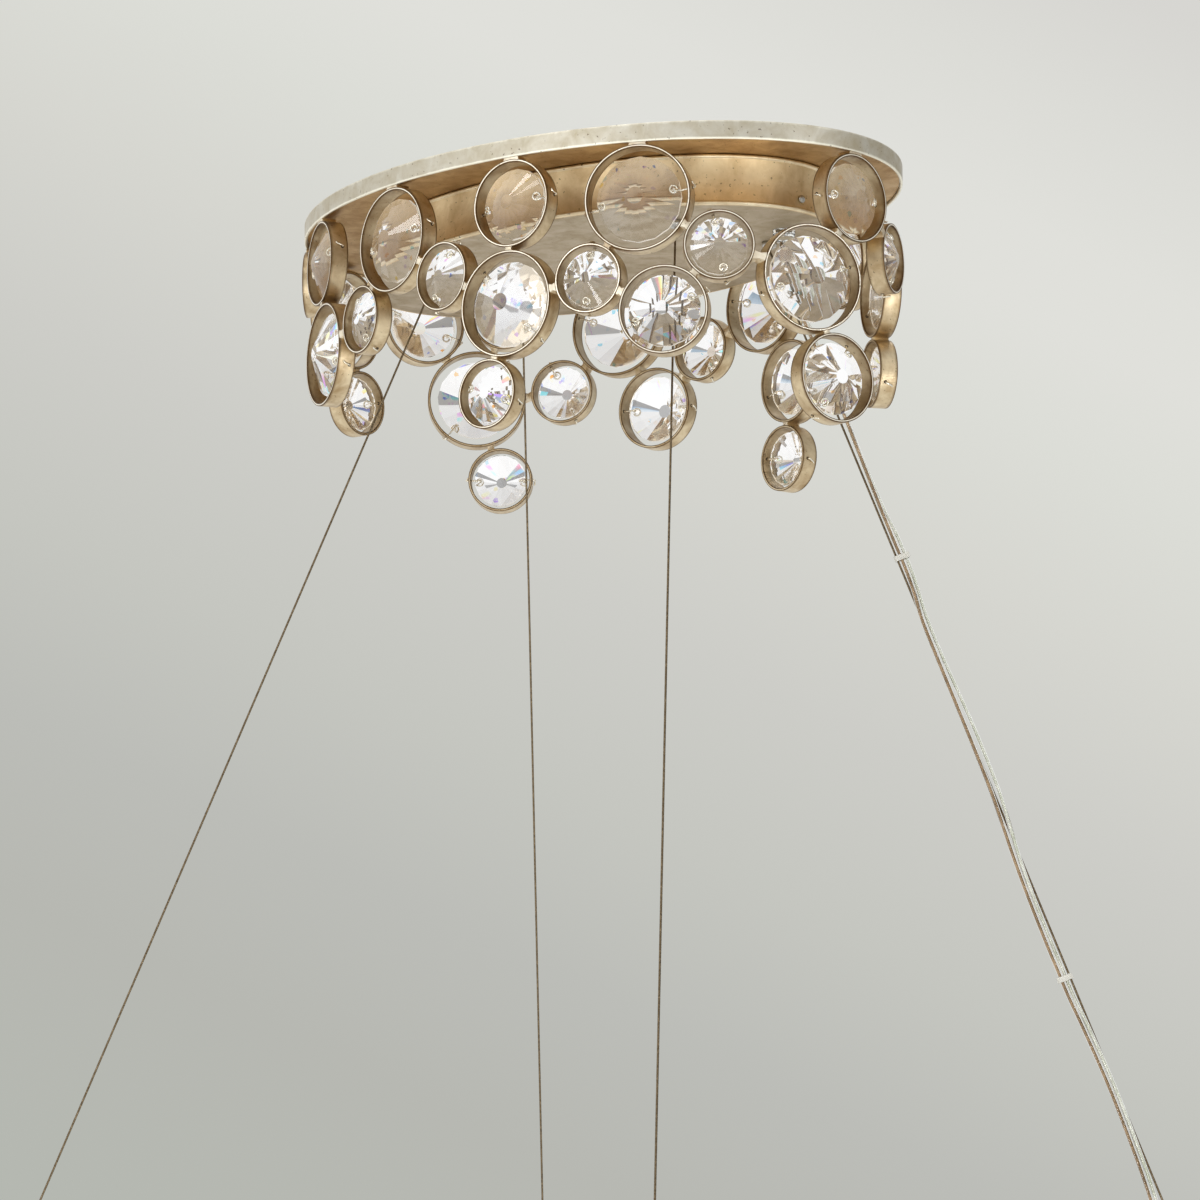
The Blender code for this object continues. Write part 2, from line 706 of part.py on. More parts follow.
def make_pan():
    """The pan's beaded wall and flat bottom, the lugs inside it and the side screws that hold it to them."""
    bead = pan_bead
    profile = [
        (0, pan_top),
        (bead, pan_top - bead),
        (0, pan_top - 2 * bead),
        (0, pan_base + 2 * bead),
        (bead, pan_base + bead),
        (0, pan_base),
    ]
    wall = oval_band("pan_wall", pan_a, pan_b, profile, pan_sheet, "champagne", pan_steps)
    drill = bmesh.new()
    for place in pan_screw_places():
        cylinder(drill, pan_screw_radius + seat_gap, 2 * (pan_sheet + cut_overrun), place, small_steps)
    cut(wall, drill)
    inset = pan_sheet + seat_gap
    length = pan_sheet + 2 * cut_overrun
    bottom = oval_plate("pan_bottom", pan_a - inset, pan_b - inset, pan_base, pan_sheet, "bronze", pan_steps)
    drill = bmesh.new()
    for x, y in cable_tops():
        place = Matrix.Translation((x, y, pan_base + pan_sheet / 2))
        cylinder(drill, gripper_neck_radius + seat_gap, length, place)
    place = Matrix.Translation((gland_x, gland_y, pan_base + pan_sheet / 2))
    cylinder(drill, gland_neck_radius + seat_gap, length, place)
    cut(bottom, drill)
    shank = pan_sheet + pan_lug_gap + pan_lug_thickness
    profile = [
        (0, pan_screw_head_height + seat_gap),
        (pan_screw_head_radius, pan_screw_head_height + seat_gap),
        (pan_screw_head_radius, seat_gap),
        (pan_screw_radius, seat_gap),
        (pan_screw_radius, -shank),
        (0, -shank),
    ]
    for end, place in zip(ends, pan_screw_places()):
        turned("pan_screw_" + end, profile, "steel", place, small_steps)


def add_lugs(plate):
    """Welds two lugs under the plate, inside the pan's ends, for the side screws."""
    bm = bmesh.new()
    top = plate_bottom + plate_thickness / 2
    bottom = plate_bottom - pan_screw_drop - pan_lug_width / 2
    for side in (-1, 1):
        x = side * (pan_a - pan_sheet - pan_lug_gap - pan_lug_thickness / 2)
        place = Matrix.Translation((x, 0, (top + bottom) / 2))
        box(bm, (pan_lug_thickness, pan_lug_width, top - bottom), place)
    join(plate, bm)


def cable_tops():
    """Where the cables leave the pan, in plan, in the order of cable_feet."""
    return [(math.copysign(cable_x, x), math.copysign(cable_y, y)) for x, y in cable_feet.values()]


def cable_exit():
    """Height of the bushings' lower faces, which the cables come out of."""
    return pan_base - seat_gap - bushing_height


def cable_line(name):
    """The two ends of a steel cable."""
    x, y = cable_feet[name]
    height = cable_exit() - seat_gap - cable_radius / 2
    top = Vector((math.copysign(cable_x, x), math.copysign(cable_y, y), height))
    return top, Vector((x, y, -cable_foot_drop))


def make_grippers():
    """The barrels in the pan that grip the cables, each with a neck and a bushing under the pan's bottom."""
    seat = pan_base + pan_sheet + seat_gap
    top = pan_base - seat_gap
    profile = [
        (0, seat + gripper_height),
        (gripper_radius * gripper_top_share, seat + gripper_height),
        (gripper_radius, seat + gripper_height - gripper_radius * (1 - gripper_top_share)),
        (gripper_radius, seat),
        (gripper_neck_radius, seat),
        (gripper_neck_radius, top),
        (bushing_radius, top),
        (bushing_radius, top - bushing_height / 2),
        (bushing_radius * bushing_tip_share, top - bushing_height),
        (0, top - bushing_height),
    ]
    for name, (x, y) in zip(cable_feet, cable_tops()):
        place = Matrix.Translation((x, y, 0))
        turned(name.replace("steel_cable", "cable_gripper"), profile, "steel", place, gripper_steps)


def make_cables():
    """The four taut cables, each with a crimped sleeve and an eye at its lower end."""
    for name in cable_feet:
        top, foot = cable_line(name)
        down = (foot - top).normalized()
        bm = bmesh.new()
        wires(bm, [(top, foot)], cable_radius, 2)
        centre = foot + down * (sleeve_length / 2 + eye_radius)
        stand = along(centre - down, centre + down) @ Matrix.Rotation(math.pi / 2, 4, "X")
        section = []
        for step in range(eye_wire_steps):
            angle = -math.tau * step / eye_wire_steps
            section.append((eye_radius + cable_radius * math.cos(angle), cable_radius * math.sin(angle)))
        spun(bm, section, stand, round_steps, closed=True)
        sleeve = bmesh.new()
        start = foot - down * sleeve_length / 2
        place = along(start, start + down * sleeve_length)
        cylinder(sleeve, sleeve_radius, sleeve_length, place, small_steps)
        join(add_piece(name, mesh_from(bm, name), "steel"), sleeve)


def cable_frame(drop):
    """A frame on the back right cable at that drop: X sideways, Y in depth and Z up along the cable."""
    top, foot = cable_line("steel_cable_back_right")
    centre = top + (foot - top) * ((drop + top.z) / (top.z - foot.z))
    along_cable = (top - foot).normalized()
    depth = up.cross(cable_side())
    side = depth.cross(along_cable)
    return Matrix.Translation(centre) @ Matrix((side, depth, along_cable)).transposed().to_4x4()


def smooth_route(points, count):
    """Evenly placed points on a smooth curve through the given ones."""
    points = [2 * points[0] - points[1], *points, 2 * points[-1] - points[-2]]
    fine = []
    for a, b, c, d in zip(points, points[1:], points[2:], points[3:]):
        for step in range(route_steps):
            t = step / route_steps
            bend = (2 * a - 5 * b + 4 * c - d) * t**2 + (3 * b - a - 3 * c + d) * t**3
            fine.append((2 * b + (c - a) * t + bend) / 2)
    fine.append(points[-2])
    walked = [0]
    for a, b in zip(fine, fine[1:]):
        walked.append(walked[-1] + (b - a).length)
    marks = np.linspace(0, walked[-1], count)
    even = [np.interp(marks, walked, [point[axis] for point in fine]) for axis in range(3)]
    return [Vector(map(float, point)) for point in zip(*even)]


def cord_lines():
    """The two cords' lines, out of the gland and down beside the cable."""
    lines = []
    for index, side in enumerate((-1, 1)):
        start = Vector((gland_x, gland_y, pan_base - gland_height - 2 * seat_gap))
        start += cable_side() * side * cord_spacing / 2
        route = [start, start - up * 2 * cord_radius]
        for drop, *offsets in cord_route:
            sideways, depth = offsets[index]
            level = cable_frame(drop)
            route.append(level @ Vector((sideways, depth, 0)))
        lines.append(smooth_route(route, cord_steps))
    return lines


def cable_side():
    """Level unit direction in which the back right cable leans."""
    top, foot = cable_line("steel_cable_back_right")
    return Vector((foot.x - top.x, foot.y - top.y, 0)).normalized()


def make_cords():
    """The gland, and the two clear cords down to the small connector just past the view."""
    seat = pan_base - seat_gap
    profile = [
        (0, pan_base + pan_sheet),
        (gland_neck_radius, pan_base + pan_sheet),
        (gland_neck_radius, seat),
        (gland_radius, seat),
        (gland_radius, seat - gland_height / 2),
        (gland_radius * gland_tip_share, seat - gland_height),
        (0, seat - gland_height),
    ]
    turned("cord_gland", profile, "clear_plastic", Matrix.Translation((gland_x, gland_y, 0)))
    lines = cord_lines()
    bm = bmesh.new()
    wires(bm, lines, cord_radius, 2)
    down = (lines[0][-1] - lines[0][-2]).normalized()
    middle = (lines[0][-1] + lines[1][-1]) / 2 + down * connector_length / 4
    across = (lines[1][-1] - lines[0][-1]).normalized()
    depth = down.cross(across).normalized()
    place = Matrix.Translation(middle) @ Matrix((depth.cross(down), depth, down)).transposed().to_4x4()
    connector = bmesh.new()
    box(connector, (connector_width, connector_thickness, connector_length), place)
    join(add_piece("clear_cords", mesh_from(bm, "clear_cords"), "clear_plastic"), connector)


def make_clips():
    """Flat oval bands round the cable and both cords, one with the cords on each side."""
    half_width = cable_radius + 2 * cord_radius + seat_gap + 2 * clip_gap
    half_height = cord_radius + 2 * clip_gap
    for name, drop, side in zip(("upper", "lower"), clip_drops, (1, -1)):
        shift = side * (half_width - cable_radius - clip_gap)
        place = cable_frame(drop) @ Matrix.Translation((shift, 0, 0))
        bm = bmesh.new()
        loops = []
        end = clip_length / 2
        for grow, level in ((clip_wall, end), (clip_wall, -end), (0, -end), (0, end)):
            loop = []
            for step in range(clip_steps):
                angle = math.tau * (step + 0.5) / clip_steps
                straight = math.copysign(half_width - half_height, math.cos(angle))
                reach = half_height + grow
                corner = Vector((straight + reach * math.cos(angle), reach * math.sin(angle), level))
                loop.append(bm.verts.new(place @ corner))
            loops.append([bm.edges.new((loop[i - 1], loop[i])) for i in range(clip_steps)])
        for a, b in zip(loops, loops[1:] + loops[:1]):
            bmesh.ops.bridge_loops(bm, edges=a + b)
        add_piece("cord_clip_" + name, mesh_from(bm, name), "clear_plastic")


def make_terminal_block():
    """The block on the pan's bottom where the supply cords are joined."""
    bm = bmesh.new()
    height = pan_base + pan_sheet + seat_gap + terminal_height / 2
    box(bm, (terminal_length, terminal_width, terminal_height), Matrix.Translation((wire_entry_x, 0, height)))
    bmesh.ops.bevel(
        bm, geom=bm.edges[:], offset=terminal_edge, segments=1, profile=0.5, affect="EDGES", material=-1
    )
    add_piece("terminal_block", mesh_from(bm, "terminal_block"), "white_plastic")


make_tray()
make_bracket()
make_pan()
make_terminal_block()
make_rings()
make_crystals()
make_grippers()
make_cables()
make_cords()
make_clips()
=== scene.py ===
"""An oval chandelier canopy with a curtain of strip rings and cut crystals, hung cables and supply cords."""

import json
import math

import bmesh
import bpy
from mathutils import Matrix, Vector


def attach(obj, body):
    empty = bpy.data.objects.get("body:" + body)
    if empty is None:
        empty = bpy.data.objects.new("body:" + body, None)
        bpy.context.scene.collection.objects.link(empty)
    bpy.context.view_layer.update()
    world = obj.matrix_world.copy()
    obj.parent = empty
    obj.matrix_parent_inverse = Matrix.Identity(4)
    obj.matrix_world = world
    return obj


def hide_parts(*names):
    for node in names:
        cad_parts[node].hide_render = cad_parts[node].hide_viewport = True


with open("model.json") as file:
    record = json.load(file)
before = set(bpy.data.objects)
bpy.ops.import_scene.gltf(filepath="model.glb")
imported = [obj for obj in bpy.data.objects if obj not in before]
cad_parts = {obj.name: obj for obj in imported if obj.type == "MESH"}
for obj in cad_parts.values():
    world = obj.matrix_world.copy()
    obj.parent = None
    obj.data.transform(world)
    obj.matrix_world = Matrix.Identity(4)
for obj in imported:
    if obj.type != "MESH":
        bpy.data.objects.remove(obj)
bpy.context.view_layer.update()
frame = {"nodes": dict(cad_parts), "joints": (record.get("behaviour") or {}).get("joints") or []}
mm = 0.001
up = Vector((0, 0, 1))


def frame_at(origin, x_axis, y_axis, z_axis):
    """A frame with that origin and those axes."""
    return Matrix.Translation(origin) @ Matrix((x_axis, y_axis, z_axis)).transposed().to_4x4()


# The camera stands about three and a half metres off, to the front right of the canopy and a little below it,
# and has a long lens.
scene = bpy.context.scene
camera_data = bpy.data.cameras.new("camera")
camera_data.lens = 144
camera_data.sensor_width = 36
camera_data.clip_end = 60
camera = bpy.data.objects.new("camera", camera_data)
scene.collection.objects.link(camera)
scene.camera = camera
azimuth = math.radians(-42.563)
elevation = math.radians(-9.445)
camera_distance = 3487.56 * mm
camera_shift = 2.766 * mm
camera_drop = 290.003 * mm
level = math.cos(elevation)
toward = Vector((level * math.cos(azimuth), level * math.sin(azimuth), math.sin(elevation)))
right = Vector((-math.sin(azimuth), math.cos(azimuth), 0))
upright = toward.cross(right)
stand_point = toward * camera_distance + right * camera_shift - upright * camera_drop
camera.matrix_world = frame_at(stand_point, right, upright, toward)

# The rim is a strip of steel bent to an oval, in champagne silver leaf, bright along its lower lip from
# abrasion and a painted highlight. The rings and the pan have the same leaf in deeper tones. A piece's mask
# lightens the leaf where it is abraded and where a highlight is painted on it, and, below nought, darkens it
# with dark glaze and painted shade.
canopy_half_length = 260 * mm
canopy_half_width = 172 * mm
rim_height = 13 * mm
rim_wall = 2 * mm


def rgb(red, green, blue):
    """A screen colour as the linear one that the shaders take."""
    parts = [value / 255 for value in (red, green, blue)]
    return (*[part / 12.92 if part < 0.04045 else ((part + 0.055) / 1.055) ** 2.4 for part in parts], 1)


white = (1, 1, 1, 1)
black = (0, 0, 0, 1)
# The dark colour that the mask lays on as glaze and as painted shade.
glaze_and_shade_colour = rgb(92, 66, 36)
speck_brown = rgb(92, 70, 44)


def feed(tree, socket, value):
    """Links an input to another socket, or gives it a plain value."""
    if isinstance(value, bpy.types.NodeSocket):
        tree.links.new(value, socket)
    else:
        socket.default_value = value


def node(tree, kind, **settings):
    """Adds a shader node, with its settings and with what its inputs are fed."""
    made = tree.nodes.new(kind)
    for key, value in settings.items():
        if key in made.inputs:
            feed(tree, made.inputs[key], value)
        else:
            setattr(made, key, value)
    return made


def compute(tree, operation, *values):
    """A clamped piece of arithmetic on sockets and plain numbers, as a socket."""
    made = node(tree, "ShaderNodeMath", operation=operation, use_clamp=True)
    for socket, value in zip(made.inputs, values):
        feed(tree, socket, value)
    return made.outputs[0]


def vector_math(tree, operation, first, second):
    """A node that works on two vectors, each a socket or a plain vector."""
    made = node(tree, "ShaderNodeVectorMath", operation=operation)
    feed(tree, made.inputs[0], first)
    feed(tree, made.inputs[1], second)
    return made


def blend_colours(tree, factor, low, high):
    """Mixes two colours, each a socket or a plain colour, and returns the mixed socket."""
    mix = node(tree, "ShaderNodeMix", data_type="RGBA")
    for index, value in ((0, factor), (6, low), (7, high)):
        feed(tree, mix.inputs[index], value)
    return mix.outputs[2]


def spread_range(tree, value, low, high, to_low=0, to_high=1):
    """Maps a value's range to another and returns the socket."""
    ranged = node(tree, "ShaderNodeMapRange")
    for index, number in enumerate((value, low, high, to_low, to_high)):
        feed(tree, ranged.inputs[index], number)
    return ranged.outputs[0]


def colour_ramp(tree, factor, stops, way="LINEAR"):
    """A ramp through stops of position and colour, read at a factor, as a socket."""
    ramp = node(tree, "ShaderNodeValToRGB", Fac=factor)
    ramp.color_ramp.interpolation = way
    for end in (0, -1):
        ramp.color_ramp.elements[end].position, ramp.color_ramp.elements[end].color = stops[end]
    for position, colour in stops[1:-1]:
        ramp.color_ramp.elements.new(position).color = colour
    return ramp.outputs[0]


def noise(tree, scale, detail, roughness, distortion=0):
    """A noise pattern on the piece's own coordinates."""
    place = node(tree, "ShaderNodeTexCoord").outputs["Object"]
    made = node(
        tree,
        "ShaderNodeTexNoise",
        Vector=place,
        Scale=scale,
        Detail=detail,
        Roughness=roughness,
        Distortion=distortion,
    )
    return made.outputs["Fac"]


def finish_group(name, inputs):
    """An empty node group with those inputs and the outputs of a finish, and its two ends."""
    outputs = [("Colour", "NodeSocketColor"), ("Roughness", "NodeSocketFloat")]
    outputs.append(("Normal", "NodeSocketVector"))
    group = bpy.data.node_groups.new(name, "ShaderNodeTree")
    for way, sockets in (("INPUT", inputs), ("OUTPUT", outputs)):
        for label, kind in sockets:
            group.interface.new_socket(label, in_out=way, socket_type=kind)
    return group, group.nodes.new("NodeGroupInput").outputs, group.nodes.new("NodeGroupOutput").inputs


def give_out(group, put, colour, roughness, normal):
    """Links a finish group's three results to its output."""
    for label, socket in (("Colour", colour), ("Roughness", roughness), ("Normal", normal)):
        group.links.new(socket, put[label])


def new_material(name, values):
    """A material, its node tree and its shader, with plain values on the shader's own inputs."""
    material = bpy.data.materials.new(name)
    material.use_nodes = True
    shader = material.node_tree.nodes["Principled BSDF"]
    for label, value in values.items():
        shader.inputs[label].default_value = value
    return material, material.node_tree, shader


def grouped_finish(name, group, metallic, values):
    """A material whose colour, roughness and normal come from a finish group, and that group's node."""
    material, tree, shader = new_material(name, {"Metallic": metallic})
    effect = node(tree, "ShaderNodeGroup", node_tree=group, **values)
    for label, socket in (("Colour", "Base Color"), ("Roughness", "Roughness"), ("Normal", "Normal")):
        tree.links.new(effect.outputs[label], shader.inputs[socket])
    return material, effect


leaf_effect, given, put = finish_group(
    "leaf",
    [("Colour", "NodeSocketColor"), ("Shade", "NodeSocketColor"), ("BrightRubAndHighlight", "NodeSocketColor")]
    + [("LeafMarksAndPaintedLight", "NodeSocketFloat"), ("Satin", "NodeSocketFloat")],
)
clouds = noise(leaf_effect, 55, 5, 0.62, 0.4)
grain = noise(leaf_effect, 900, 3, 0.7)
specks = noise(leaf_effect, 420, 2, 0.5)
patina = spread_range(leaf_effect, clouds, 0.38, 0.66)
toned = blend_colours(leaf_effect, patina, given["Colour"], given["Shade"])
# The mask mixes in the bright colour where the leaf is abraded and where a highlight is painted, and below
# nought the dark colour as glaze and painted shade.
uneven = spread_range(leaf_effect, clouds, 0.35, 0.65, 0.05, -0.45)
rub_and_highlight_amount = compute(leaf_effect, "MULTIPLY_ADD", given["LeafMarksAndPaintedLight"], 1.25, uneven)
leaf_marks_and_painted_light = blend_colours(leaf_effect, rub_and_highlight_amount, toned, given["BrightRubAndHighlight"])
glaze_and_shade = compute(leaf_effect, "MULTIPLY", given["LeafMarksAndPaintedLight"], -1)
with_glaze_and_shade = blend_colours(leaf_effect, glaze_and_shade, leaf_marks_and_painted_light, glaze_and_shade_colour)
flecks = spread_range(leaf_effect, specks, 0.68, 0.74, 0, 0.7)
speckled = blend_colours(leaf_effect, flecks, with_glaze_and_shade, speck_brown)
dulled = spread_range(leaf_effect, clouds, 0.3, 0.7, -0.06, 0.1)
satin = compute(leaf_effect, "ADD", dulled, given["Satin"])
hammered = node(leaf_effect, "ShaderNodeBump", Strength=0.35, Distance=0.15 * mm, Height=grain)
give_out(leaf_effect, put, speckled, satin, hammered.outputs[0])


def leaf_finish(name, colour, shade, bright, satin, masked=True):
    """A metal leaf finish. Where it is masked, an attribute of its pieces says where the leaf is abraded or
    painted bright, and where it has dark glaze or painted shade.
    """
    values = {"Colour": colour, "Shade": shade, "BrightRubAndHighlight": bright, "Satin": satin}
    material, effect = grouped_finish(name, leaf_effect, 1, values)
    if masked:
        mask = node(material.node_tree, "ShaderNodeAttribute", attribute_name="leaf_marks_and_painted_light")
        material.node_tree.links.new(mask.outputs["Fac"], effect.inputs["LeafMarksAndPaintedLight"])
    return material


def finished(name, bm, material, body, slot, *nodes, smooth_deg=35):
    """Turns a bmesh into a smooth piece that stands for those CAD nodes and moves with that body."""
    bmesh.ops.remove_doubles(bm, verts=bm.verts, dist=0.001 * mm)
    bmesh.ops.recalc_face_normals(bm, faces=bm.faces)
    mesh = bpy.data.meshes.new(name)
    bm.to_mesh(mesh)
    bm.free()
    mesh.shade_smooth()
    mesh.set_sharp_from_angle(angle=math.radians(smooth_deg))
    piece = bpy.data.objects.new(name, mesh)
    scene.collection.objects.link(piece)
    mesh.materials.append(material)
    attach(piece, body)
    if nodes:
        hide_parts(*nodes)
    return piece


def leaf_marks_and_painted_light_mask(bm):
    """The layer that holds the mask of abrasion, glaze and painted light, made where there is none yet."""
    return bm.verts.layers.float.get("leaf_marks_and_painted_light") or bm.verts.layers.float.new("leaf_marks_and_painted_light")


def edges_of(verts):
    """All the edges that meet those vertices."""
    return list({edge for vert in verts for edge in vert.link_edges})


def bridge(bm, loops, closed=True):
    """Joins loops of edges one after another, and the last to the first where the form is closed."""
    followers = loops[1:] + loops[:1] if closed else loops[1:]
    for first, second in zip(loops, followers):
        bmesh.ops.bridge_loops(bm, edges=first + second)


def oval_wall(bm, half_length, half_width, profile, steps):
    """Adds a closed wall round an oval, from a profile of (outset, height, mask level)."""
    mask = leaf_marks_and_painted_light_mask(bm)
    loops = []
    for outset, height, mask_level in profile:
        size = Matrix.Diagonal((half_length + outset, half_width + outset, 1, 1))
        place = Matrix.Translation((0, 0, height)) @ size
        verts = bmesh.ops.create_circle(bm, segments=steps, radius=1, matrix=place)["verts"]
        for vert in verts:
            vert[mask] = mask_level
        loops.append(edges_of(verts))
    bridge(bm, loops)


def rounded(outset, height, radius, start_deg, end_deg, mask_level, steps=3):
    """Profile points round a corner or bead."""
    points = []
    for step in range(steps + 1):
        angle = math.radians(start_deg + (end_deg - start_deg) * step / steps)
        points.append((outset + radius * math.cos(angle), height + radius * math.sin(angle), mask_level))
    return points


champagne_leaf = leaf_finish(
    "champagne_leaf", rgb(210, 205, 191), rgb(190, 180, 157), rgb(250, 246, 230), 0.48
)
bm = bmesh.new()
lip = 0.6 * mm
lip_band_height = 2 * mm
# The mask is highest along the outer lower lip and lighter on the other corners: abraded leaf and a painted
# highlight.
profile = (
    rounded(-lip, -lip, lip, 90, 0, 0.5)
    + [(0, -lip_band_height, 0), (0, lip_band_height - rim_height, 0)]
    + rounded(-lip, lip - rim_height, lip, 0, -90, 1)
    + rounded(lip - rim_wall, lip - rim_height, lip, -90, -180, 0.6)
    + [(-rim_wall, lip_band_height - rim_height, 0), (-rim_wall, -lip_band_height, 0)]
    + rounded(lip - rim_wall, -lip, lip, 180, 90, 0.2)
)
oval_wall(bm, canopy_half_length, canopy_half_width, profile, 224)
finished("rim", bm, champagne_leaf, "canopy", "champagne_metal", "canopy_rim")

# The tray's plate sits up inside the rim, its underside a darker bronze copy of the leaf as painted shade,
# and hangs on the steel bracket by two screws.
# The terminal block is in the pan, out of sight. These are the CAD's own solids with a finish each.
grain_effect, given, put = finish_group(
    "grain",
    [("Colour", "NodeSocketColor"), ("Dark", "NodeSocketColor"), ("Satin", "NodeSocketFloat")]
    + [("Scale", "NodeSocketFloat"), ("Height", "NodeSocketFloat")],
)
place = node(grain_effect, "ShaderNodeTexCoord").outputs["Object"]
sized = node(grain_effect, "ShaderNodeVectorMath", operation="SCALE", Scale=given["Scale"])
grain_effect.links.new(place, sized.inputs[0])
spot = sized.outputs[0]
coarse = node(grain_effect, "ShaderNodeTexNoise", Vector=spot, Scale=1, Detail=4, Roughness=0.6)
fine = node(grain_effect, "ShaderNodeTexNoise", Vector=spot, Scale=9, Detail=3, Roughness=0.6)
mottle = coarse.outputs["Fac"]
faded = spread_range(grain_effect, mottle, 0.35, 0.7)
mottled = blend_colours(grain_effect, faded, given["Colour"], given["Dark"])
uneven = spread_range(grain_effect, mottle, 0.3, 0.7, -0.06, 0.08)
satin = compute(grain_effect, "ADD", uneven, given["Satin"])
drawn = node(
    grain_effect, "ShaderNodeBump", Strength=0.3, Distance=given["Height"], Height=fine.outputs["Fac"]
)
give_out(grain_effect, put, mottled, satin, drawn.outputs[0])


def plain_finish(name, colour, dark, metallic, roughness, scale, grain_height):
    """Drawn steel or moulded plastic: a little colour and gloss variation with a fine grain."""
    values = {"Colour": colour, "Dark": dark, "Satin": roughness, "Scale": scale, "Height": grain_height}
    return grouped_finish(name, grain_effect, metallic, values)[0]


# A darker copy of the leaf for the plate's underside: painted shade for the shadow under the tray.
painted_shade_bronze = leaf_finish(
    "painted_shade_bronze", rgb(198, 166, 118), rgb(168, 134, 88), rgb(206, 184, 144), 0.46, masked=False
)
bright_steel = plain_finish("bright_steel", rgb(196, 194, 188), rgb(160, 157, 150), 1, 0.28, 260, 0.03 * mm)
bracket_zinc = plain_finish("bracket_zinc", rgb(188, 190, 190), rgb(150, 152, 150), 1, 0.38, 180, 0.05 * mm)
white_plastic = plain_finish(
    "white_plastic", rgb(222, 221, 214), rgb(212, 210, 202), 0, 0.45, 300, 0.03 * mm
)
for name, material in (
    ("canopy_plate", painted_shade_bronze),
    ("ceiling_bracket", bracket_zinc),
    ("bracket_screw_left", bright_steel),
    ("bracket_screw_right", bright_steel),
    ("terminal_block", white_plastic),
):
    frame["nodes"][name].data.materials.clear()
    frame["nodes"][name].data.materials.append(material)

# The pan is a drawn oval with a bead rolled round its top and its bottom edge, in antique gold leaf. A flat
# bottom closes it, drilled for the cables' grippers and the cord gland.
pan_half_length = 210.5 * mm
pan_half_width = 123.5 * mm
pan_top = -11.3 * mm
pan_base = -47.3 * mm
pan_sheet = 1.5 * mm
pan_gap = 0.15 * mm
bead = 1.4 * mm
bead_end = 2 * bead + 0.5 * mm
cable_top_x = 132 * mm
cable_top_y = 46 * mm
gripper_hole = 3.8 * mm
gland_x = 165 * mm
gland_y = 28 * mm
gland_hole = 6.3 * mm

gold_leaf = leaf_finish("gold_leaf", rgb(230, 206, 164), rgb(208, 180, 136), rgb(248, 236, 206), 0.42)
bm = bmesh.new()
# The beads and the wall's edges carry some of the mask: abraded leaf and painted highlights on the beads.
profile = (
    [(0, pan_top, 0.2)]
    + rounded(0, pan_top - bead, bead, 75, -75, 0.6, 6)
    + [(0, pan_top - bead_end, 0), (0, pan_base + bead_end, 0)]
    + rounded(0, pan_base + bead, bead, 75, -75, 0.7, 6)
    + [(0, pan_base, 0.3), (-pan_sheet, pan_base, 0), (-pan_sheet, pan_top, 0)]
)
oval_wall(bm, pan_half_length, pan_half_width, profile, 192)
finished("pan_wall_leafed", bm, gold_leaf, "canopy", "champagne_metal", "pan_wall")


def cylinder(bm, radius, depth, segments, place):
    """Adds a capped cylinder round the Z axis of that place, half of it above and half below."""
    bmesh.ops.create_cone(
        bm, cap_ends=True, segments=segments, radius1=radius, radius2=radius, depth=depth, matrix=place
    )


def drilled_mesh(piece, holes, height, depth, segments):
    """A piece's mesh with upright holes through it at that height, each given as x, y and radius."""
    drill = bmesh.new()
    for x, y, radius in holes:
        cylinder(drill, radius, depth, segments, Matrix.Translation((x, y, height)))
    mesh = bpy.data.meshes.new("drill")
    drill.to_mesh(mesh)
    drill.free()
    tool = bpy.data.objects.new("drill", mesh)
    scene.collection.objects.link(tool)
    boolean = piece.modifiers.new("drill", "BOOLEAN")
    boolean.solver = "EXACT"
    boolean.object = tool
    bpy.context.view_layer.update()
    cut = bpy.data.meshes.new_from_object(piece.evaluated_get(bpy.context.evaluated_depsgraph_get()))
    piece.modifiers.clear()
    bpy.data.objects.remove(tool)
    return cut


umber_leaf = leaf_finish(
    "umber_leaf", rgb(188, 172, 146), rgb(168, 150, 120), rgb(200, 186, 160), 0.46, masked=False
)
bm = bmesh.new()
inset = pan_sheet + pan_gap
size = Matrix.Diagonal((pan_half_length - inset, pan_half_width - inset, 1, 1))
cylinder(bm, 1, pan_sheet, 192, Matrix.Translation((0, 0, pan_base + pan_sheet / 2)) @ size)
pan_floor = finished("pan_floor", bm, umber_leaf, "canopy", "bronze_metal", "pan_bottom")
holes = [(x, y, gripper_hole) for x in (-cable_top_x, cable_top_x) for y in (-cable_top_y, cable_top_y)]
holes.append((gland_x, gland_y, gland_hole))
pan_floor.data = drilled_mesh(pan_floor, holes, pan_base, 10 * mm, 32)


def lathe(bm, points, steps, closed=False):
    """Turns a profile round the Z axis, from points of radius and height, with or without a mask level for
    abrasion and painted light.
    """
    mask = leaf_marks_and_painted_light_mask(bm) if len(points[0]) == 3 else None
    verts = []
    for radius, height, *mask_level in points:
        vert = bm.verts.new((radius, 0, height))
        if mask is not None:
            vert[mask] = mask_level[0]
        verts.append(vert)
    followers = verts[1:] + verts[:1] if closed else verts[1:]
    edges = [bm.edges.new(pair) for pair in zip(verts, followers)]
    bmesh.ops.spin(
        bm, geom=verts + edges, axis=up, cent=(0, 0, 0), angle=math.tau, steps=steps, use_merge=True
    )


def turned_piece(name, points, place, steps, material, slot, *nodes):
    """A piece turned on a lathe and put in place, from points of radius and height in millimetres."""
    bm = bmesh.new()
    lathe(bm, [(radius * mm, height * mm) for radius, height in points], steps)
    bmesh.ops.transform(bm, matrix=place, verts=bm.verts)
    finished(name, bm, material, "canopy", slot, *nodes)


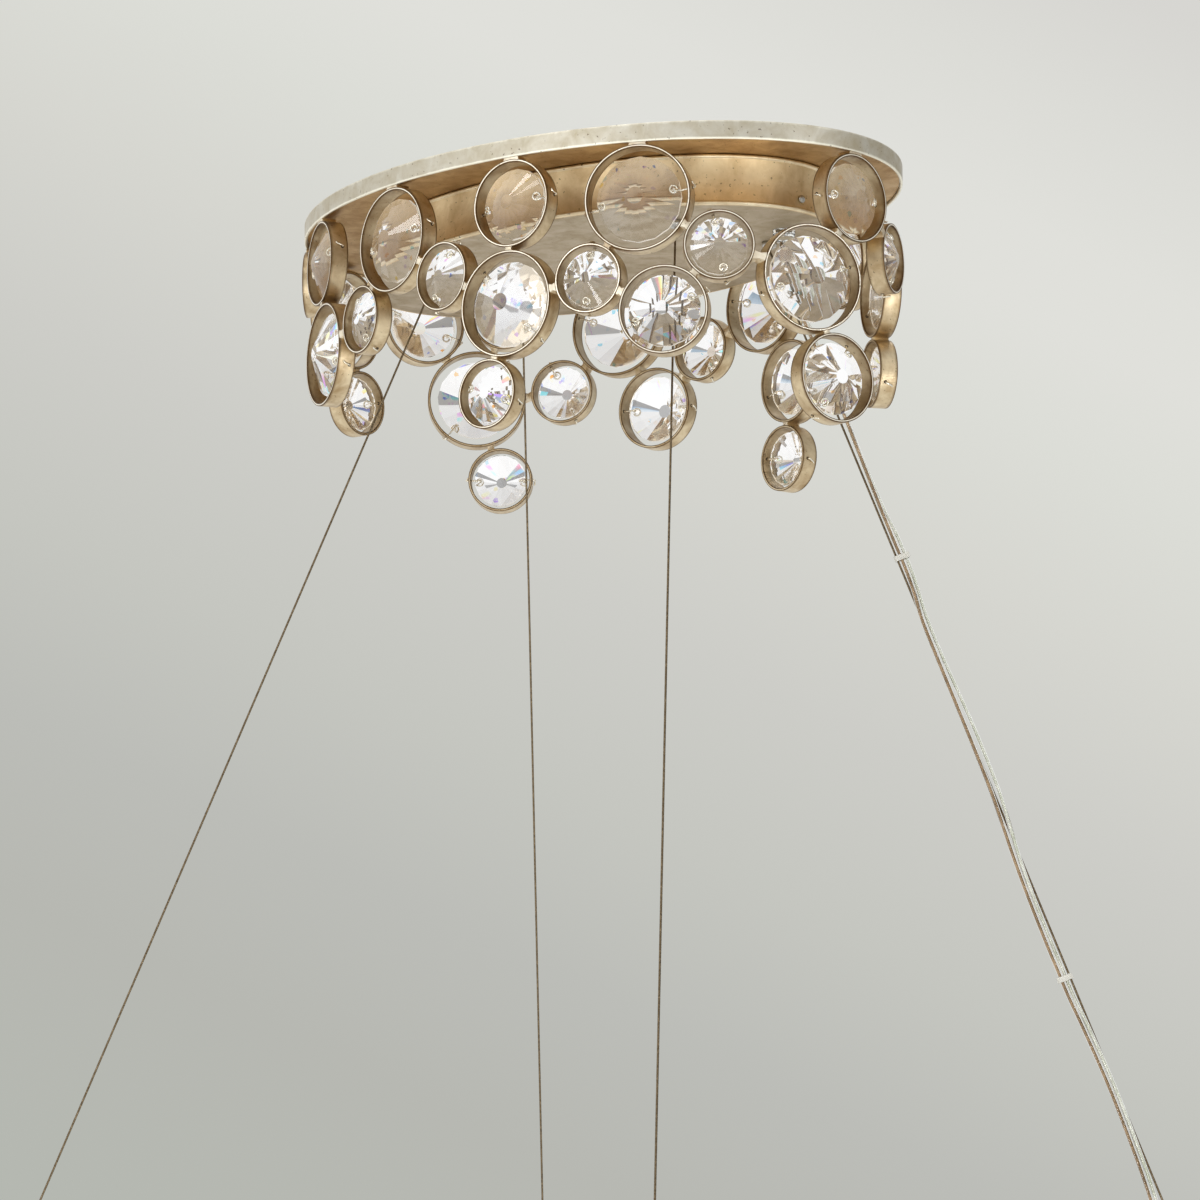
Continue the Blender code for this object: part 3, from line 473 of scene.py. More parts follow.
# Two pan head screws hold the pan to lugs under the plate. One stands out of the wall at each end, a little
# below its middle.
screw_height = -38 * mm
screw_points = [(0, 1.9), (1.4, 1.85), (2.3, 1.5), (2.75, 0.9), (2.8, 0.3), (1.5, 0.3), (1.5, -5.7)]
screw_points.append((0, -5.7))
for side, end in ((-1, "left"), (1, "right")):
    place = Matrix.Translation((side * pan_half_length, 0, screw_height))
    place = place @ Matrix.Rotation(side * math.pi / 2, 4, "Y")
    turned_piece("pan_screw_head_" + end, screw_points, place, 32, bright_steel, "steel", "pan_screw_" + end)

# Each crystal hangs inside a ring bent from flat strip, leafed in antique gold. The ring's front edge is
# bright along the middle, partly abraded leaf and partly a painted highlight, with dark glaze and painted
# shade at its corners and on its inner wall. The rings are welded to each other side by side, and those of
# the top row to the rim by a flat tab.
ring_diameters = {"large": 75 * mm, "medium": 62 * mm, "small": 49 * mm}
crystal_diameters = {"large": 60 * mm, "medium": 50 * mm, "small": 40 * mm}
ring_wall = 2 * mm
ring_depth = 13 * mm
strip_corner = 0.35 * mm
bright_inset = 0.72 * mm
glaze_and_shade_inset = 0.52 * mm
large_rings = (2, 4, 9, 13, 14, 20, 22, 25, 28)
medium_rings = (1, 3, 5, 11, 16, 17, 21, 27, 29, 31)
top_row = (1, 2, 3, 4, 5, 19, 20, 21, 25, 28, 31, 33)
girdle = 2.5 * mm
facet_slope = math.radians(26)
table_share = 0.2
crystal_facets = 16
facet_fold = 0.7 * mm
crystal_back = -(ring_depth + girdle) / 2


def size_of(number):
    """Which of the three sizes a ring has."""
    return "large" if number in large_rings else "medium" if number in medium_rings else "small"


def crystal_rise(size):
    """How high a crystal's long facets rise from its girdle to its table."""
    return crystal_diameters[size] / 2 * (1 - table_share) * math.tan(facet_slope)


def balance_height(size):
    """Height of a crystal's centre of mass above its flat back, as the CAD model works it out."""
    rise = crystal_rise(size)
    dome = rise * (1 + table_share + table_share**2) / 3
    centre = (1 + 2 * table_share + 3 * table_share**2) / (4 * (1 + table_share + table_share**2))
    return (girdle**2 / 2 + dome * (girdle + rise * centre)) / (girdle + dome)


def ring_stand(joint):
    """A ring's number, its own frame and the angle of its pins. The frame has X forward round the oval, Y up
    and Z out, with its origin in the ring's front plane. It is found from the joint's axis, which runs
    through the crystal.
    """
    number = int(joint["child"].split("_")[1])
    point = Vector(joint["pos_m"])
    depth = -crystal_back - balance_height(size_of(number))
    a, b = canopy_half_length, canopy_half_width
    turn = math.atan2(point.y / b, point.x / a)
    for _ in range(30):
        outward = Vector((b * math.cos(turn), a * math.sin(turn), 0)).normalized()
        outline = point + outward * depth
        turn = math.atan2(outline.y / b, outline.x / a)
    forward = up.cross(outward)
    axis = Vector(joint["axis"])
    return number, frame_at(outline, forward, up, outward), math.atan2(axis.z, axis.dot(forward))


stands = {}
pin_angles = {}
for joint in frame["joints"]:
    number, stand, angle = ring_stand(joint)
    stands[number] = stand
    pin_angles[number] = angle


def add_mesh(bm, mesh):
    """Adds a mesh to a bmesh and deletes it."""
    bm.from_mesh(mesh)
    bpy.data.meshes.remove(mesh)


def strip_ring(bm, number):
    """Adds a ring of flat strip with softened edges, and with its mask of abrasion, glaze and painted light.
    """
    outer = ring_diameters[size_of(number)] / 2
    inner = outer - ring_wall
    middle = (outer + inner) / 2
    soft = strip_corner
    # Bright down the middle of the front edge: abraded leaf and a painted highlight. Dark at the corners and
    # on the inner wall: dark glaze and painted shade.
    points = (
        [(middle, 0, 1), (outer - bright_inset, 0, 0.9), (outer - glaze_and_shade_inset, 0, -1)]
        + rounded(outer - soft, -soft, soft, 90, 0, -1, 2)
        + [(outer, -0.8 * mm, -0.6), (outer, -2.2 * mm, 0), (outer, 1.5 * mm - ring_depth, 0)]
        + rounded(outer - soft, soft - ring_depth, soft, 0, -90, -0.9, 2)
        + [(middle, -ring_depth, 0.3)]
        + rounded(inner + soft, soft - ring_depth, soft, -90, -180, -0.9, 2)
        + [(inner, 1.5 * mm - ring_depth, -0.3), (inner, -2.2 * mm, -0.4), (inner, -0.8 * mm, -0.8)]
        + rounded(inner + soft, -soft, soft, 180, 90, -1, 2)
        + [(inner + glaze_and_shade_inset, 0, -1), (inner + bright_inset, 0, 0.9)]
    )
    body = bmesh.new()
    lathe(body, points, 72, closed=True)
    bmesh.ops.transform(body, matrix=stands[number], verts=body.verts)
    mesh = bpy.data.meshes.new("ring")
    body.to_mesh(mesh)
    body.free()
    add_mesh(bm, mesh)


def plate_between(bm, sections, front, back):
    """Adds a plate through rounded rectangles, each a frame and its half width, between two depths."""
    mask = leaf_marks_and_painted_light_mask(bm)
    squareness = 0.86
    face = 0.85
    shift = Matrix.Translation((0, 0, (front + back) / 2))
    turn = Matrix.Rotation(math.pi / 2, 4, "Y")
    loops = []
    # Each section's front edge gets mask 0.5 and its back edge 0.3: abraded leaf and a painted highlight on
    # the plate's edges.
    for place, half_width in sections:
        verts = bmesh.ops.create_circle(bm, segments=24, radius=1)["verts"]
        for vert in verts:
            vert.co /= max(abs(vert.co.x), abs(vert.co.y)) ** squareness
            vert[mask] = 0.5 if vert.co.x < -face else 0.3 if vert.co.x > face else 0
        shape = shift @ Matrix.Diagonal((1, half_width, (front - back) / 2, 1)) @ turn
        bmesh.ops.transform(bm, matrix=place @ shape, verts=verts)
        loops.append(edges_of(verts))
    bridge(bm, loops, closed=False)
    for end in (loops[0], loops[-1]):
        bmesh.ops.contextual_create(bm, geom=end)


weld_front = -0.15 * mm


def weld(bm, a, b):
    """Adds the bridge between two rings, flared where it runs into each wall."""
    start, end = stands[a], stands[b]
    gap = start.inverted() @ end.translation
    angle = math.atan2(gap.y, math.copysign(math.hypot(gap.x, gap.z), gap.x))
    turn = Matrix.Rotation(angle, 4, "Z")
    reach_a = ring_diameters[size_of(a)] / 2
    reach_b = ring_diameters[size_of(b)] / 2
    spots = [(start, reach_a - 1.3 * mm, 4.2), (start, reach_a - 0.1 * mm, 3.1)]
    spots += [(end, 0.1 * mm - reach_b, 3.1), (end, 1.3 * mm - reach_b, 4.2)]
    sections = [
        (ring @ turn @ Matrix.Translation((reach, 0, 0)), wide * mm) for ring, reach, wide in spots
    ]
    middle = sections[1][0].lerp(sections[2][0], 0.5)
    sections.insert(2, (middle, 2.1 * mm))
    plate_between(bm, sections, weld_front, 0.6 * mm - ring_depth)


def rim_tab(bm, number):
    """Adds the flat tab that a ring of the top row hangs from."""
    reach = ring_diameters[size_of(number)] / 2
    stand = stands[number] @ Matrix.Rotation(math.pi / 2, 4, "Z")
    spots = ((-1.6, 7.2), (-0.2, 6.4), (0.7, 5.9), (1.4, 6.6))
    sections = [
        (stand @ Matrix.Translation((reach + high * mm, 0, 0)), wide * mm) for high, wide in spots
    ]
    plate_between(bm, sections, weld_front, 1.6 * mm - ring_depth)


ring_leaf = leaf_finish("ring_leaf", rgb(224, 206, 172), rgb(178, 153, 116), rgb(255, 250, 236), 0.4)
ring_groups = {
    "front": (1, 2, 3, 4, 7, 8, 9, 10, 11, 12, 14, 15),
    "right_end": (5, 6, 13, 16),
    "back_right": (17, 18, 31),
    "back_middle": (25, 26, 27, 28, 29, 30),
    "back_left": (19, 20, 21, 22, 23, 24, 32, 33),
}
welded_pairs = (
    "1-14 14-7 7-2 2-8 8-9 3-9 9-15 9-10 10-4 10-11 11-12 4-12 12-13 13-5 13-16 5-6 31-17 17-18 28-29 29-30 "
    "28-26 26-27 27-25 25-23 23-22 22-33 22-24 22-21 21-20 20-32 20-19"
)
for group, numbers in ring_groups.items():
    bm = bmesh.new()
    leaf_marks_and_painted_light_mask(bm)
    for number in numbers:
        strip_ring(bm, number)
    finished("strip_rings_" + group, bm, ring_leaf, "canopy", "champagne_metal", "rings_" + group)
    bm = bmesh.new()
    for pair in welded_pairs.split():
        a, b = (int(end) for end in pair.split("-"))
        if a in numbers:
            weld(bm, a, b)
    for number in numbers:
        if number in top_row:
            rim_tab(bm, number)
    finished("welds_" + group, bm, ring_leaf, "canopy", "champagne_metal", "rings_" + group)

# Two wire pins carry each crystal: a closed eye in front of it, a shank through its drilled hole, and a run
# across its back and out through the ring, where the tail is bent forward and stands off the strip. Thin dark
# discs on the ring's wall, inside and out, are painted shadow where each pin passes through it.
pin_steel = plain_finish("pin_steel", rgb(246, 242, 230), rgb(206, 196, 172), 1, 0.26, 600, 0.02 * mm)
hole_shade = plain_finish("hole_shade", rgb(70, 50, 30), rgb(44, 32, 20), 0, 0.7, 800, 0.02 * mm)
hole_inset = 4 * mm
drill_radius = 1.6 * mm
pin_radius = 0.6 * mm
pin_run = crystal_back - 0.4 * mm - pin_radius
eye_radius = 2.6 * mm
eye_offset = 1.5 * mm
eye_steps = 20
tail = ((0.2, 0, 0), (0.9, 0.2, 0.2), (1.2, 0.5, 0.8), (0.9, 1.2, 2.6), (0.5, 2, 4.4), (0.4, 3, 5))
disc_radius = 1.25 * mm
disc_offset = 0.05 * mm


def drill_edge(size):
    """The radius that a crystal's drilled holes are set in from."""
    return crystal_diameters[size] / 2 * math.cos(math.pi / 12)


def pin_points(size):
    """A pin's line in its ring's frame, with its ring hole in the +X direction."""
    edge = drill_edge(size)
    slope = math.atan2(crystal_rise(size), edge * (1 - table_share))
    hole = edge - hole_inset
    tilt = Matrix.Rotation(slope, 4, "Y")
    surface = crystal_back + girdle + hole_inset * math.tan(slope)
    centre = Vector((hole, 0, surface)) + tilt @ (up * eye_offset)
    turns = [math.tau * (step / eye_steps) for step in range(eye_steps - 1)]
    eye = [centre + tilt @ Vector((math.cos(turn), math.sin(turn), 0)) * eye_radius for turn in turns]
    outside = ring_diameters[size] / 2 + 0.3 * mm + pin_radius
    bends = [
        (hole + 1.1 * mm, -0.5 * mm, centre.z),
        (hole, 0, centre.z - 0.8 * mm),
        (hole, 0, pin_run + 0.8 * mm),
        (hole + 0.25 * mm, 0, pin_run + 0.25 * mm),
        (hole + 0.8 * mm, 0, pin_run),
    ]
    bends += [(outside + x * mm, y * mm, pin_run + z * mm) for x, y, z in tail]
    return eye + [Vector(bend) for bend in bends]


def wire_curve(name, lines, radius, resolution):
    """A curve of round wires with closed ends, one along each list of points."""
    curve = bpy.data.curves.new(name, "CURVE")
    curve.dimensions = "3D"
    curve.bevel_depth = radius
    curve.bevel_resolution = resolution
    curve.use_fill_caps = True
    for line in lines:
        spline = curve.splines.new("POLY")
        spline.points.add(len(line) - 1)
        for point, place in zip(spline.points, line):
            point.co = (*place, 1)
    made = bpy.data.objects.new(name, curve)
    scene.collection.objects.link(made)
    return made


def add_wires(bm, lines, radius, resolution):
    """Adds such wires to a bmesh."""
    guide = wire_curve("guide", lines, radius, resolution)
    curve = guide.data
    bpy.context.view_layer.update()
    mesh = bpy.data.meshes.new_from_object(guide.evaluated_get(bpy.context.evaluated_depsgraph_get()))
    bpy.data.objects.remove(guide)
    bpy.data.curves.remove(curve)
    add_mesh(bm, mesh)


for group, numbers in ring_groups.items():
    pins = []
    for number in numbers:
        for turn in (0, math.pi):
            place = stands[number] @ Matrix.Rotation(pin_angles[number] + turn, 4, "Z")
            pins.append((size_of(number), place))
    bm = bmesh.new()
    lines = [[place @ point for point in pin_points(size)] for size, place in pins]
    add_wires(bm, lines, pin_radius, 2)
    finished("wire_pins_" + group, bm, pin_steel, "canopy", "steel", "rings_" + group, smooth_deg=50)
    bm = bmesh.new()
    sideways = Matrix.Rotation(math.pi / 2, 4, "Y")
    # Dark discs on the wall's outer and inner face at each pin: painted shadow of the hole it passes through.
    for size, place in pins:
        wall = ring_diameters[size] / 2
        for reach in (wall + disc_offset, wall - ring_wall - disc_offset):
            disc = place @ Matrix.Translation((reach, 0, pin_run)) @ sideways
            cylinder(bm, disc_radius, 0.14 * mm, 20, disc)
    finished("pin_hole_shadows_" + group, bm, hole_shade, "canopy", "champagne_metal", "rings_" + group)

# The crystals are polished clear glass: a flat back, a plain girdle and sixteen long facets, each folded into
# two narrow ones, rising to a small table, with a hole near the edge for each pin. Where a ray has been
# reflected inside more than three times, the glass glows a dim warm colour, painted light in place of the
# light that the bounce limit cuts off, and a few tiny cells are tinted blue, amber, yellow or violet as
# painted coloured flashes. Each crystal rocks a little on its pins.
painted_glow_colour = (0.36, 0.32, 0.26, 1)
crystal_glass, tree, shader = new_material(
    "crystal_glass", {"Transmission Weight": 1, "IOR": 1.5, "Emission Strength": 1}
)
# Painted glow: emission of a dim warm colour where a ray has been reflected inside more than three times.
reflections = node(tree, "ShaderNodeLightPath").outputs["Glossy Depth"]
trapped = compute(tree, "GREATER_THAN", reflections, 3.5)
feed(tree, shader.inputs["Emission Color"], blend_colours(tree, trapped, black, painted_glow_colour))
polish = noise(tree, 60, 3, 0.5, 0.2)
feed(tree, shader.inputs["Roughness"], spread_range(tree, polish, 0.5, 0.8, 0, 0.03))
# Painted coloured flashes: a few tiny cells tint the glass blue, amber, yellow or violet.
place = node(tree, "ShaderNodeTexCoord").outputs["Object"]
cells = node(tree, "ShaderNodeTexVoronoi", Vector=place, Scale=380)
picked = node(tree, "ShaderNodeSeparateColor", Color=cells.outputs["Color"])
painted_flash_stops = [
    (0, rgb(120, 205, 240)),
    (0.3, rgb(255, 190, 110)),
    (0.5, rgb(255, 236, 140)),
    (0.65, rgb(120, 150, 255)),
    (0.8, rgb(190, 160, 255)),
]
painted_flashes = colour_ramp(tree, picked.outputs[1], painted_flash_stops, "CONSTANT")
few = spread_range(tree, picked.outputs[0], 0.986, 0.998)
feed(tree, shader.inputs["Base Color"], blend_colours(tree, few, white, painted_flashes))


def parts_of(geometry, kind):
    """Those of one kind among a bmesh operator's results."""
    return [part for part in geometry if isinstance(part, kind)]


def cut_crystal(size):
    """The drilled crystal of a size, with its flat back at the origin and its table towards +Z."""
    radius = crystal_diameters[size] / 2
    bm = bmesh.new()
    around = bmesh.ops.create_circle(bm, cap_ends=True, segments=2 * crystal_facets, radius=radius)["verts"]
    flat = math.cos(math.pi / crystal_facets)
    bmesh.ops.scale(bm, verts=around[::2], vec=(flat, flat, 1))
    top = bmesh.ops.extrude_face_region(bm, geom=bm.faces[:])["geom"]
    rim_verts = parts_of(top, bmesh.types.BMVert)
    bmesh.ops.translate(bm, verts=rim_verts, vec=(0, 0, girdle))
    table = bmesh.ops.extrude_face_region(bm, geom=parts_of(top, bmesh.types.BMFace))["geom"]
    table_verts = parts_of(table, bmesh.types.BMVert)
    bmesh.ops.translate(bm, verts=table_verts, vec=(0, 0, crystal_rise(size)))
    bmesh.ops.scale(bm, verts=table_verts, vec=(table_share, table_share, 1))
    folds = [vert for vert in rim_verts if vert.co.xy.length < radius * (1 + flat) / 2]
    corners = [vert for vert in rim_verts if vert not in folds]
    bmesh.ops.translate(bm, verts=folds, vec=(0, 0, facet_fold / 2))
    bmesh.ops.translate(bm, verts=corners, vec=(0, 0, -facet_fold / 2))
    bmesh.ops.recalc_face_normals(bm, faces=bm.faces)
    mesh = bpy.data.meshes.new("blank")
    bm.to_mesh(mesh)
    bm.free()
    blank = bpy.data.objects.new("blank", mesh)
    scene.collection.objects.link(blank)
    reach = drill_edge(size) - hole_inset
    cut = drilled_mesh(blank, [(-reach, 0, drill_radius), (reach, 0, drill_radius)], 0, 60 * mm, 16)
    bpy.data.objects.remove(blank)
    return cut


blanks = {size: cut_crystal(size) for size in crystal_diameters}
for number in sorted(stands):
    lift = Matrix.Translation((0, 0, crystal_back))
    place = stands[number] @ Matrix.Rotation(pin_angles[number], 4, "Z") @ lift
    bm = bmesh.new()
    bm.from_mesh(blanks[size_of(number)])
    bmesh.ops.transform(bm, matrix=place, verts=bm.verts)
    name = f"crystal_{number:02d}"
    finished("cut_" + name, bm, crystal_glass, name, "crystal", name, smooth_deg=3)

# Steel grippers stand in the pan, each with a bushing under the pan's bottom, and hold the four taut stranded
# cables. Each cable ends in a crimped sleeve and an eye just past the view, for the lamp below.
cable_feet = {
    "front_left": (-330 * mm, -253 * mm),
    "back_left": (-327 * mm, 244 * mm),
    "front_right": (324 * mm, -248 * mm),
    "back_right": (322 * mm, 244 * mm),
}
cable_top_z = -52.8 * mm
cable_foot_z = -745 * mm
cable_radius = 0.8 * mm
strand_lay = 11 * mm
strand_step = 1.6 * mm
strand_groove = 0.86
crimp_length = 12
crimp_middle = 6 * mm
eye_middle = 10 * mm
cable_eye_radius = 3.85 * mm
cable_steel = plain_finish("cable_steel", rgb(134, 118, 94), rgb(92, 78, 58), 1, 0.5, 500, 0.02 * mm)
gripper_points = [
    *((0, -27.5), (2.4, -27.5), (3, -27.7), (4.7, -29.4), (5, -30), (5, -45), (4.8, -45.4), (3.5, -45.5)),
    *((3.5, -47.5), (5.3, -47.6), (5.5, -47.9), (5.5, -49.6), (5.1, -50.2), (3.2, -51.9), (2.6, -52.1)),
    (0, -52.1),
]
crimp_points = [
    *((0.85, 0), (1.7, 0), (2, -0.4), (2, -5.2), (1.8, -5.6), (1.8, -6.4), (2, -6.8), (2, -11.6)),
    *((1.7, -12), (0.85, -12)),
]


def pointed(origin, direction):
    """A frame whose Z axis points that way."""
    return Matrix.Translation(origin) @ direction.to_track_quat("Z", "Y").to_matrix().to_4x4()


def twisted_tube(start, end, radius, lay):
    """A stranded cable between two points: six strands' outline, twisted along its length."""
    bm = bmesh.new()
    length = (end - start).length
    made = bmesh.ops.create_circle(bm, segments=18, radius=radius)
    for index, vert in enumerate(made["verts"]):
        vert.co *= 1 if index % 3 else strand_groove
    steps = int(length / strand_step)
    bmesh.ops.spin(
        bm,
        geom=bm.verts[:] + bm.edges[:],
        axis=up,
        cent=(0, 0, 0),
        dvec=up * length / steps,
        angle=math.tau * length / lay,
        steps=steps,
    )
    bmesh.ops.transform(bm, matrix=pointed(start, (end - start).normalized()), verts=bm.verts)
    bmesh.ops.holes_fill(bm, edges=[edge for edge in bm.edges if edge.is_boundary], sides=0)
    return bm


cable_ends = {}
for name, (x, y) in cable_feet.items():
    top = Vector((math.copysign(cable_top_x, x), math.copysign(cable_top_y, y), cable_top_z))
    place = Matrix.Translation((top.x, top.y, 0))
    turned_piece(
        "gripper_" + name, gripper_points, place, 40, bright_steel, "steel", "cable_gripper_" + name
    )
    foot = Vector((x, y, cable_foot_z))
    cable_ends[name] = (top, foot)
    down = (foot - top).normalized()
    bm = twisted_tube(top, foot, cable_radius, strand_lay)
    cable = finished(
        "cable_" + name, bm, cable_steel, "canopy", "steel", "steel_cable_" + name, smooth_deg=60
    )
    bm = bmesh.new()
    points = [(radius * mm, (height + crimp_length) * mm) for radius, height in crimp_points]
    lathe(bm, points, 24, closed=True)
    bmesh.ops.transform(bm, matrix=pointed(foot + down * crimp_middle, -down), verts=bm.verts)
    stand = pointed(foot + down * eye_middle, down) @ Matrix.Rotation(math.pi / 2, 4, "X")
    turns = [i * math.tau / 40 for i in range(41)]
    loop = [stand @ (Vector((math.sin(turn), -math.cos(turn), 0)) * cable_eye_radius) for turn in turns]
    add_wires(bm, [loop], cable_radius, 3)
    eye = finished("cable_eye_" + name, bm, bright_steel, "canopy", "steel", "steel_cable_" + name)

# Two clear sheathed supply cords, one with a tinned and one with a copper conductor, leave a clear gland
# beside the back right cable, weave down along it through two clear clips and end in a small clear connector
# just past the view.
cord_radius = 1.5 * mm
core_radius = 0.75 * mm
clear_sheath, tree, shader = new_material("clear_sheath", {"Transmission Weight": 1, "IOR": 1.5})
haze = noise(tree, 60, 3, 0.5)
feed(tree, shader.inputs["Roughness"], spread_range(tree, haze, 0.35, 0.7, 0.04, 0.08))
tint = spread_range(tree, haze, 0.3, 0.8)
sheath_colour = blend_colours(tree, tint, (0.98, 0.99, 0.97, 1), (0.93, 0.95, 0.91, 1))
feed(tree, shader.inputs["Base Color"], sheath_colour)
gland_points = [
    *((0, -45.8), (5.6, -45.8), (6, -46.1), (6, -47.6), (7.7, -47.6), (8, -47.9), (8, -51.4), (7.7, -52)),
    *((5.9, -55.3), (5.4, -55.6), (0, -55.6)),
]
place = Matrix.Translation((gland_x, gland_y, 0))
turned_piece("gland", gland_points, place, 48, clear_sheath, "clear_plastic", "cord_gland")

cord_top_z = -55.9 * mm
cord_spacing = 3.4 * mm
cable_top, cable_foot = cable_ends["back_right"]
lean = Vector((cable_foot.x - cable_top.x, cable_foot.y - cable_top.y, 0)).normalized()
cord_route = [
    (75, (0.6, -35.5), (4, -35.5)),
    (105, (0.5, -30), (2.8, -27.2)),
    (140, (2.2, -20), (3.6, -16.7)),
    (170, (3.4, -10), (4.6, -6.6)),
    (205, (3.4, -3.4), (4.4, 0.1)),
    (240, (2.9, -1.6), (4.8, 1.4)),
    (262, (2.8, -0.2), (6.2, 0.2)),
    (284, (2.9, -0.3), (6.2, 0)),
    (301, (1.7, -2.8), (5, -1)),
    (320, (-0.4, -3.2), (3.2, -0.9)),
    (350, (-0.8, -3.2), (3.1, -0.8)),
    (400, (-1, -3.2), (4.4, -1)),
    (440, (-1.6, -3), (3.6, -2.2)),
    (465, (-3.2, -1.8), (1.2, -3.4)),
    (490, (-4.8, -0.8), (-1.4, -3.1)),
    (515, (-5.8, -0.3), (-2.5, -1.8)),
    (545, (-6.3, 0), (-2.9, -0.1)),
    (564, (-6.2, 0), (-2.8, 0)),
    (582, (-6.2, 0), (-2.8, 0)),
    (604, (-5.3, -1.2), (-1.9, -2.9)),
    (645, (-4.3, -1.4), (-0.8, -3.2)),
    (690, (-5.4, -0.8), (-2, -2.4)),
    (714, (-6.8, -0.3), (-3.4, -0.4)),
    (733, (-8.6, 0), (-5.2, 0)),
]


def beside_cable(drop):
    """A frame on the back right cable, that far below the ceiling: X sideways, Y in depth, Z up the cable."""
    share = (drop + cable_top.z) / (cable_top.z - cable_foot.z)
    centre = cable_top + (cable_foot - cable_top) * share
    along = (cable_top - cable_foot).normalized()
    depth = up.cross(lean)
    return frame_at(centre, depth.cross(along), depth, along)


def eased(points, spacing):
    """Evenly spaced points on a smooth line through the given ones."""
    points = [2 * points[0] - points[1], *points, 2 * points[-1] - points[-2]]
    fine = []
    for a, b, c, d in zip(points, points[1:], points[2:], points[3:]):
        for step in range(24):
            t = step / 24
            bend = (2 * a - 5 * b + 4 * c - d) * t**2 + (3 * b - a - 3 * c + d) * t**3
            fine.append(0.5 * (2 * b + (c - a) * t + bend))
    fine.append(points[-2])
    even = [fine[0]]
    for point in fine[1:]:
        while (point - even[-1]).length >= spacing:
            even.append(even[-1] + (point - even[-1]).normalized() * spacing)
    even.append(fine[-1])
    return even


def route_of(index):
    """The line of one of the two cords."""
    start = Vector((gland_x, gland_y, cord_top_z)) + lean * (index - 0.5) * cord_spacing
    route = [start, start - up * 3 * mm]
    for drop, *sides in cord_route:
        across, depth = sides[index]
        route.append(beside_cable(drop * mm) @ Vector((across * mm, depth * mm, 0)))
    return eased(route, 2.5 * mm)


tinned = plain_finish("tinned_strands", rgb(252, 252, 242), rgb(226, 228, 208), 1, 0.45, 60, 0.002 * mm)
copper = plain_finish("copper_strands", rgb(196, 166, 130), rgb(146, 118, 86), 1, 0.45, 60, 0.002 * mm)
routes = [route_of(0), route_of(1)]
along = (routes[0][-1] - routes[0][-4]).normalized()
across = (routes[1][-1] - routes[0][-1]).normalized()
depth = along.cross(across).normalized()
connector_size = Matrix.Diagonal((6.6 * mm, 4.4 * mm, 12 * mm, 1))
bm = bmesh.new()
middle = (routes[0][-1] + routes[1][-1]) / 2 + along * 3 * mm
bmesh.ops.create_cube(bm, size=1, matrix=frame_at(middle, depth.cross(along), depth, along) @ connector_size)
bmesh.ops.bevel(
    bm, geom=bm.edges[:], offset=0.8 * mm, segments=4, profile=0.5, affect="EDGES", material=-1
)
connector = finished("cord_connector", bm, clear_sheath, "canopy", "clear_plastic", "clear_cords")
for line, label, material in zip(routes, ("copper", "tinned"), (copper, tinned)):
    bm = bmesh.new()
    add_wires(bm, [line], core_radius, 4)
    core = finished(
        "cord_strands_" + label, bm, material, "canopy", "clear_plastic", "clear_cords", smooth_deg=60
    )
    cord = wire_curve("cord_" + label, [line], cord_radius, 5)
    cord.data.materials.append(clear_sheath)
    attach(cord, "canopy")
    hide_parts("clear_cords")

# Two clear moulded bands clip the cable and both cords together, the upper one with the cords on the cable's
# right and the lower one with them on its left.
clip_plastic, tree, shader = new_material("clip_plastic", {"Transmission Weight": 0.3, "IOR": 1.46})
milk = noise(tree, 300, 3, 0.5)
clouded = spread_range(tree, milk, 0.3, 0.7)
feed(tree, shader.inputs["Base Color"], blend_colours(tree, clouded, rgb(246, 244, 236), rgb(234, 232, 222)))
feed(tree, shader.inputs["Roughness"], spread_range(tree, milk, 0.3, 0.7, 0.2, 0.34))
clip_half_width = 4.9 * mm
clip_half_height = 2.3 * mm
clip_straight = clip_half_width - clip_half_height
cable_inset = 1.2 * mm
clip_profile = ((0.6, 2), (0.9, 1.7), (0.9, -1.7), (0.6, -2), (0.2, -2), (0, -1.8), (0, 1.8), (0.2, 2))
for label, drop, side in (("upper", 276, 1), ("lower", 570, -1)):
    place = beside_cable(drop * mm) @ Matrix.Translation((side * (clip_half_width - cable_inset), 0, 0))
    bm = bmesh.new()
    loops = []
    for grow, high in clip_profile:
        verts = bmesh.ops.create_circle(bm, segments=48, radius=clip_half_height + grow * mm)["verts"]
        right_half = [vert for vert in verts if vert.co.x > 0]
        left_half = [vert for vert in verts if vert.co.x <= 0]
        bmesh.ops.translate(bm, verts=right_half, vec=(clip_straight, 0, high * mm))
        bmesh.ops.translate(bm, verts=left_half, vec=(-clip_straight, 0, high * mm))
        bmesh.ops.transform(bm, matrix=place, verts=verts)
        loops.append(edges_of(verts))
    bridge(bm, loops)
    finished("clip_" + label, bm, clip_plastic, "canopy", "clear_plastic", "cord_clip_" + label)

# The studio has a pale floor well below the lamp, which shines only to glossy and transmitted rays, and a
# world that differs by kind of ray: a pale grey backdrop to the camera, a softly graded room in reflections,
# and white with grey bands and dark strokes through the glass.
floor_height = -2.6
floor_mesh = bpy.data.meshes.new("floor")
bm = bmesh.new()
place = Matrix.Translation((0, 0, floor_height))
bmesh.ops.create_circle(bm, cap_ends=True, segments=64, radius=9, matrix=place)
bm.to_mesh(floor_mesh)
bm.free()
floor = bpy.data.objects.new("floor", floor_mesh)
scene.collection.objects.link(floor)
pale_floor, tree, shader = new_material("pale_floor", {"Roughness": 0.9})
paint = blend_colours(tree, noise(tree, 3, 3, 0.5), (0.7, 0.7, 0.68, 1), (0.76, 0.76, 0.74, 1))
feed(tree, shader.inputs["Base Color"], paint)
rays = node(tree, "ShaderNodeLightPath").outputs
shown = compute(tree, "MAXIMUM", rays["Is Glossy Ray"], rays["Is Transmission Ray"])
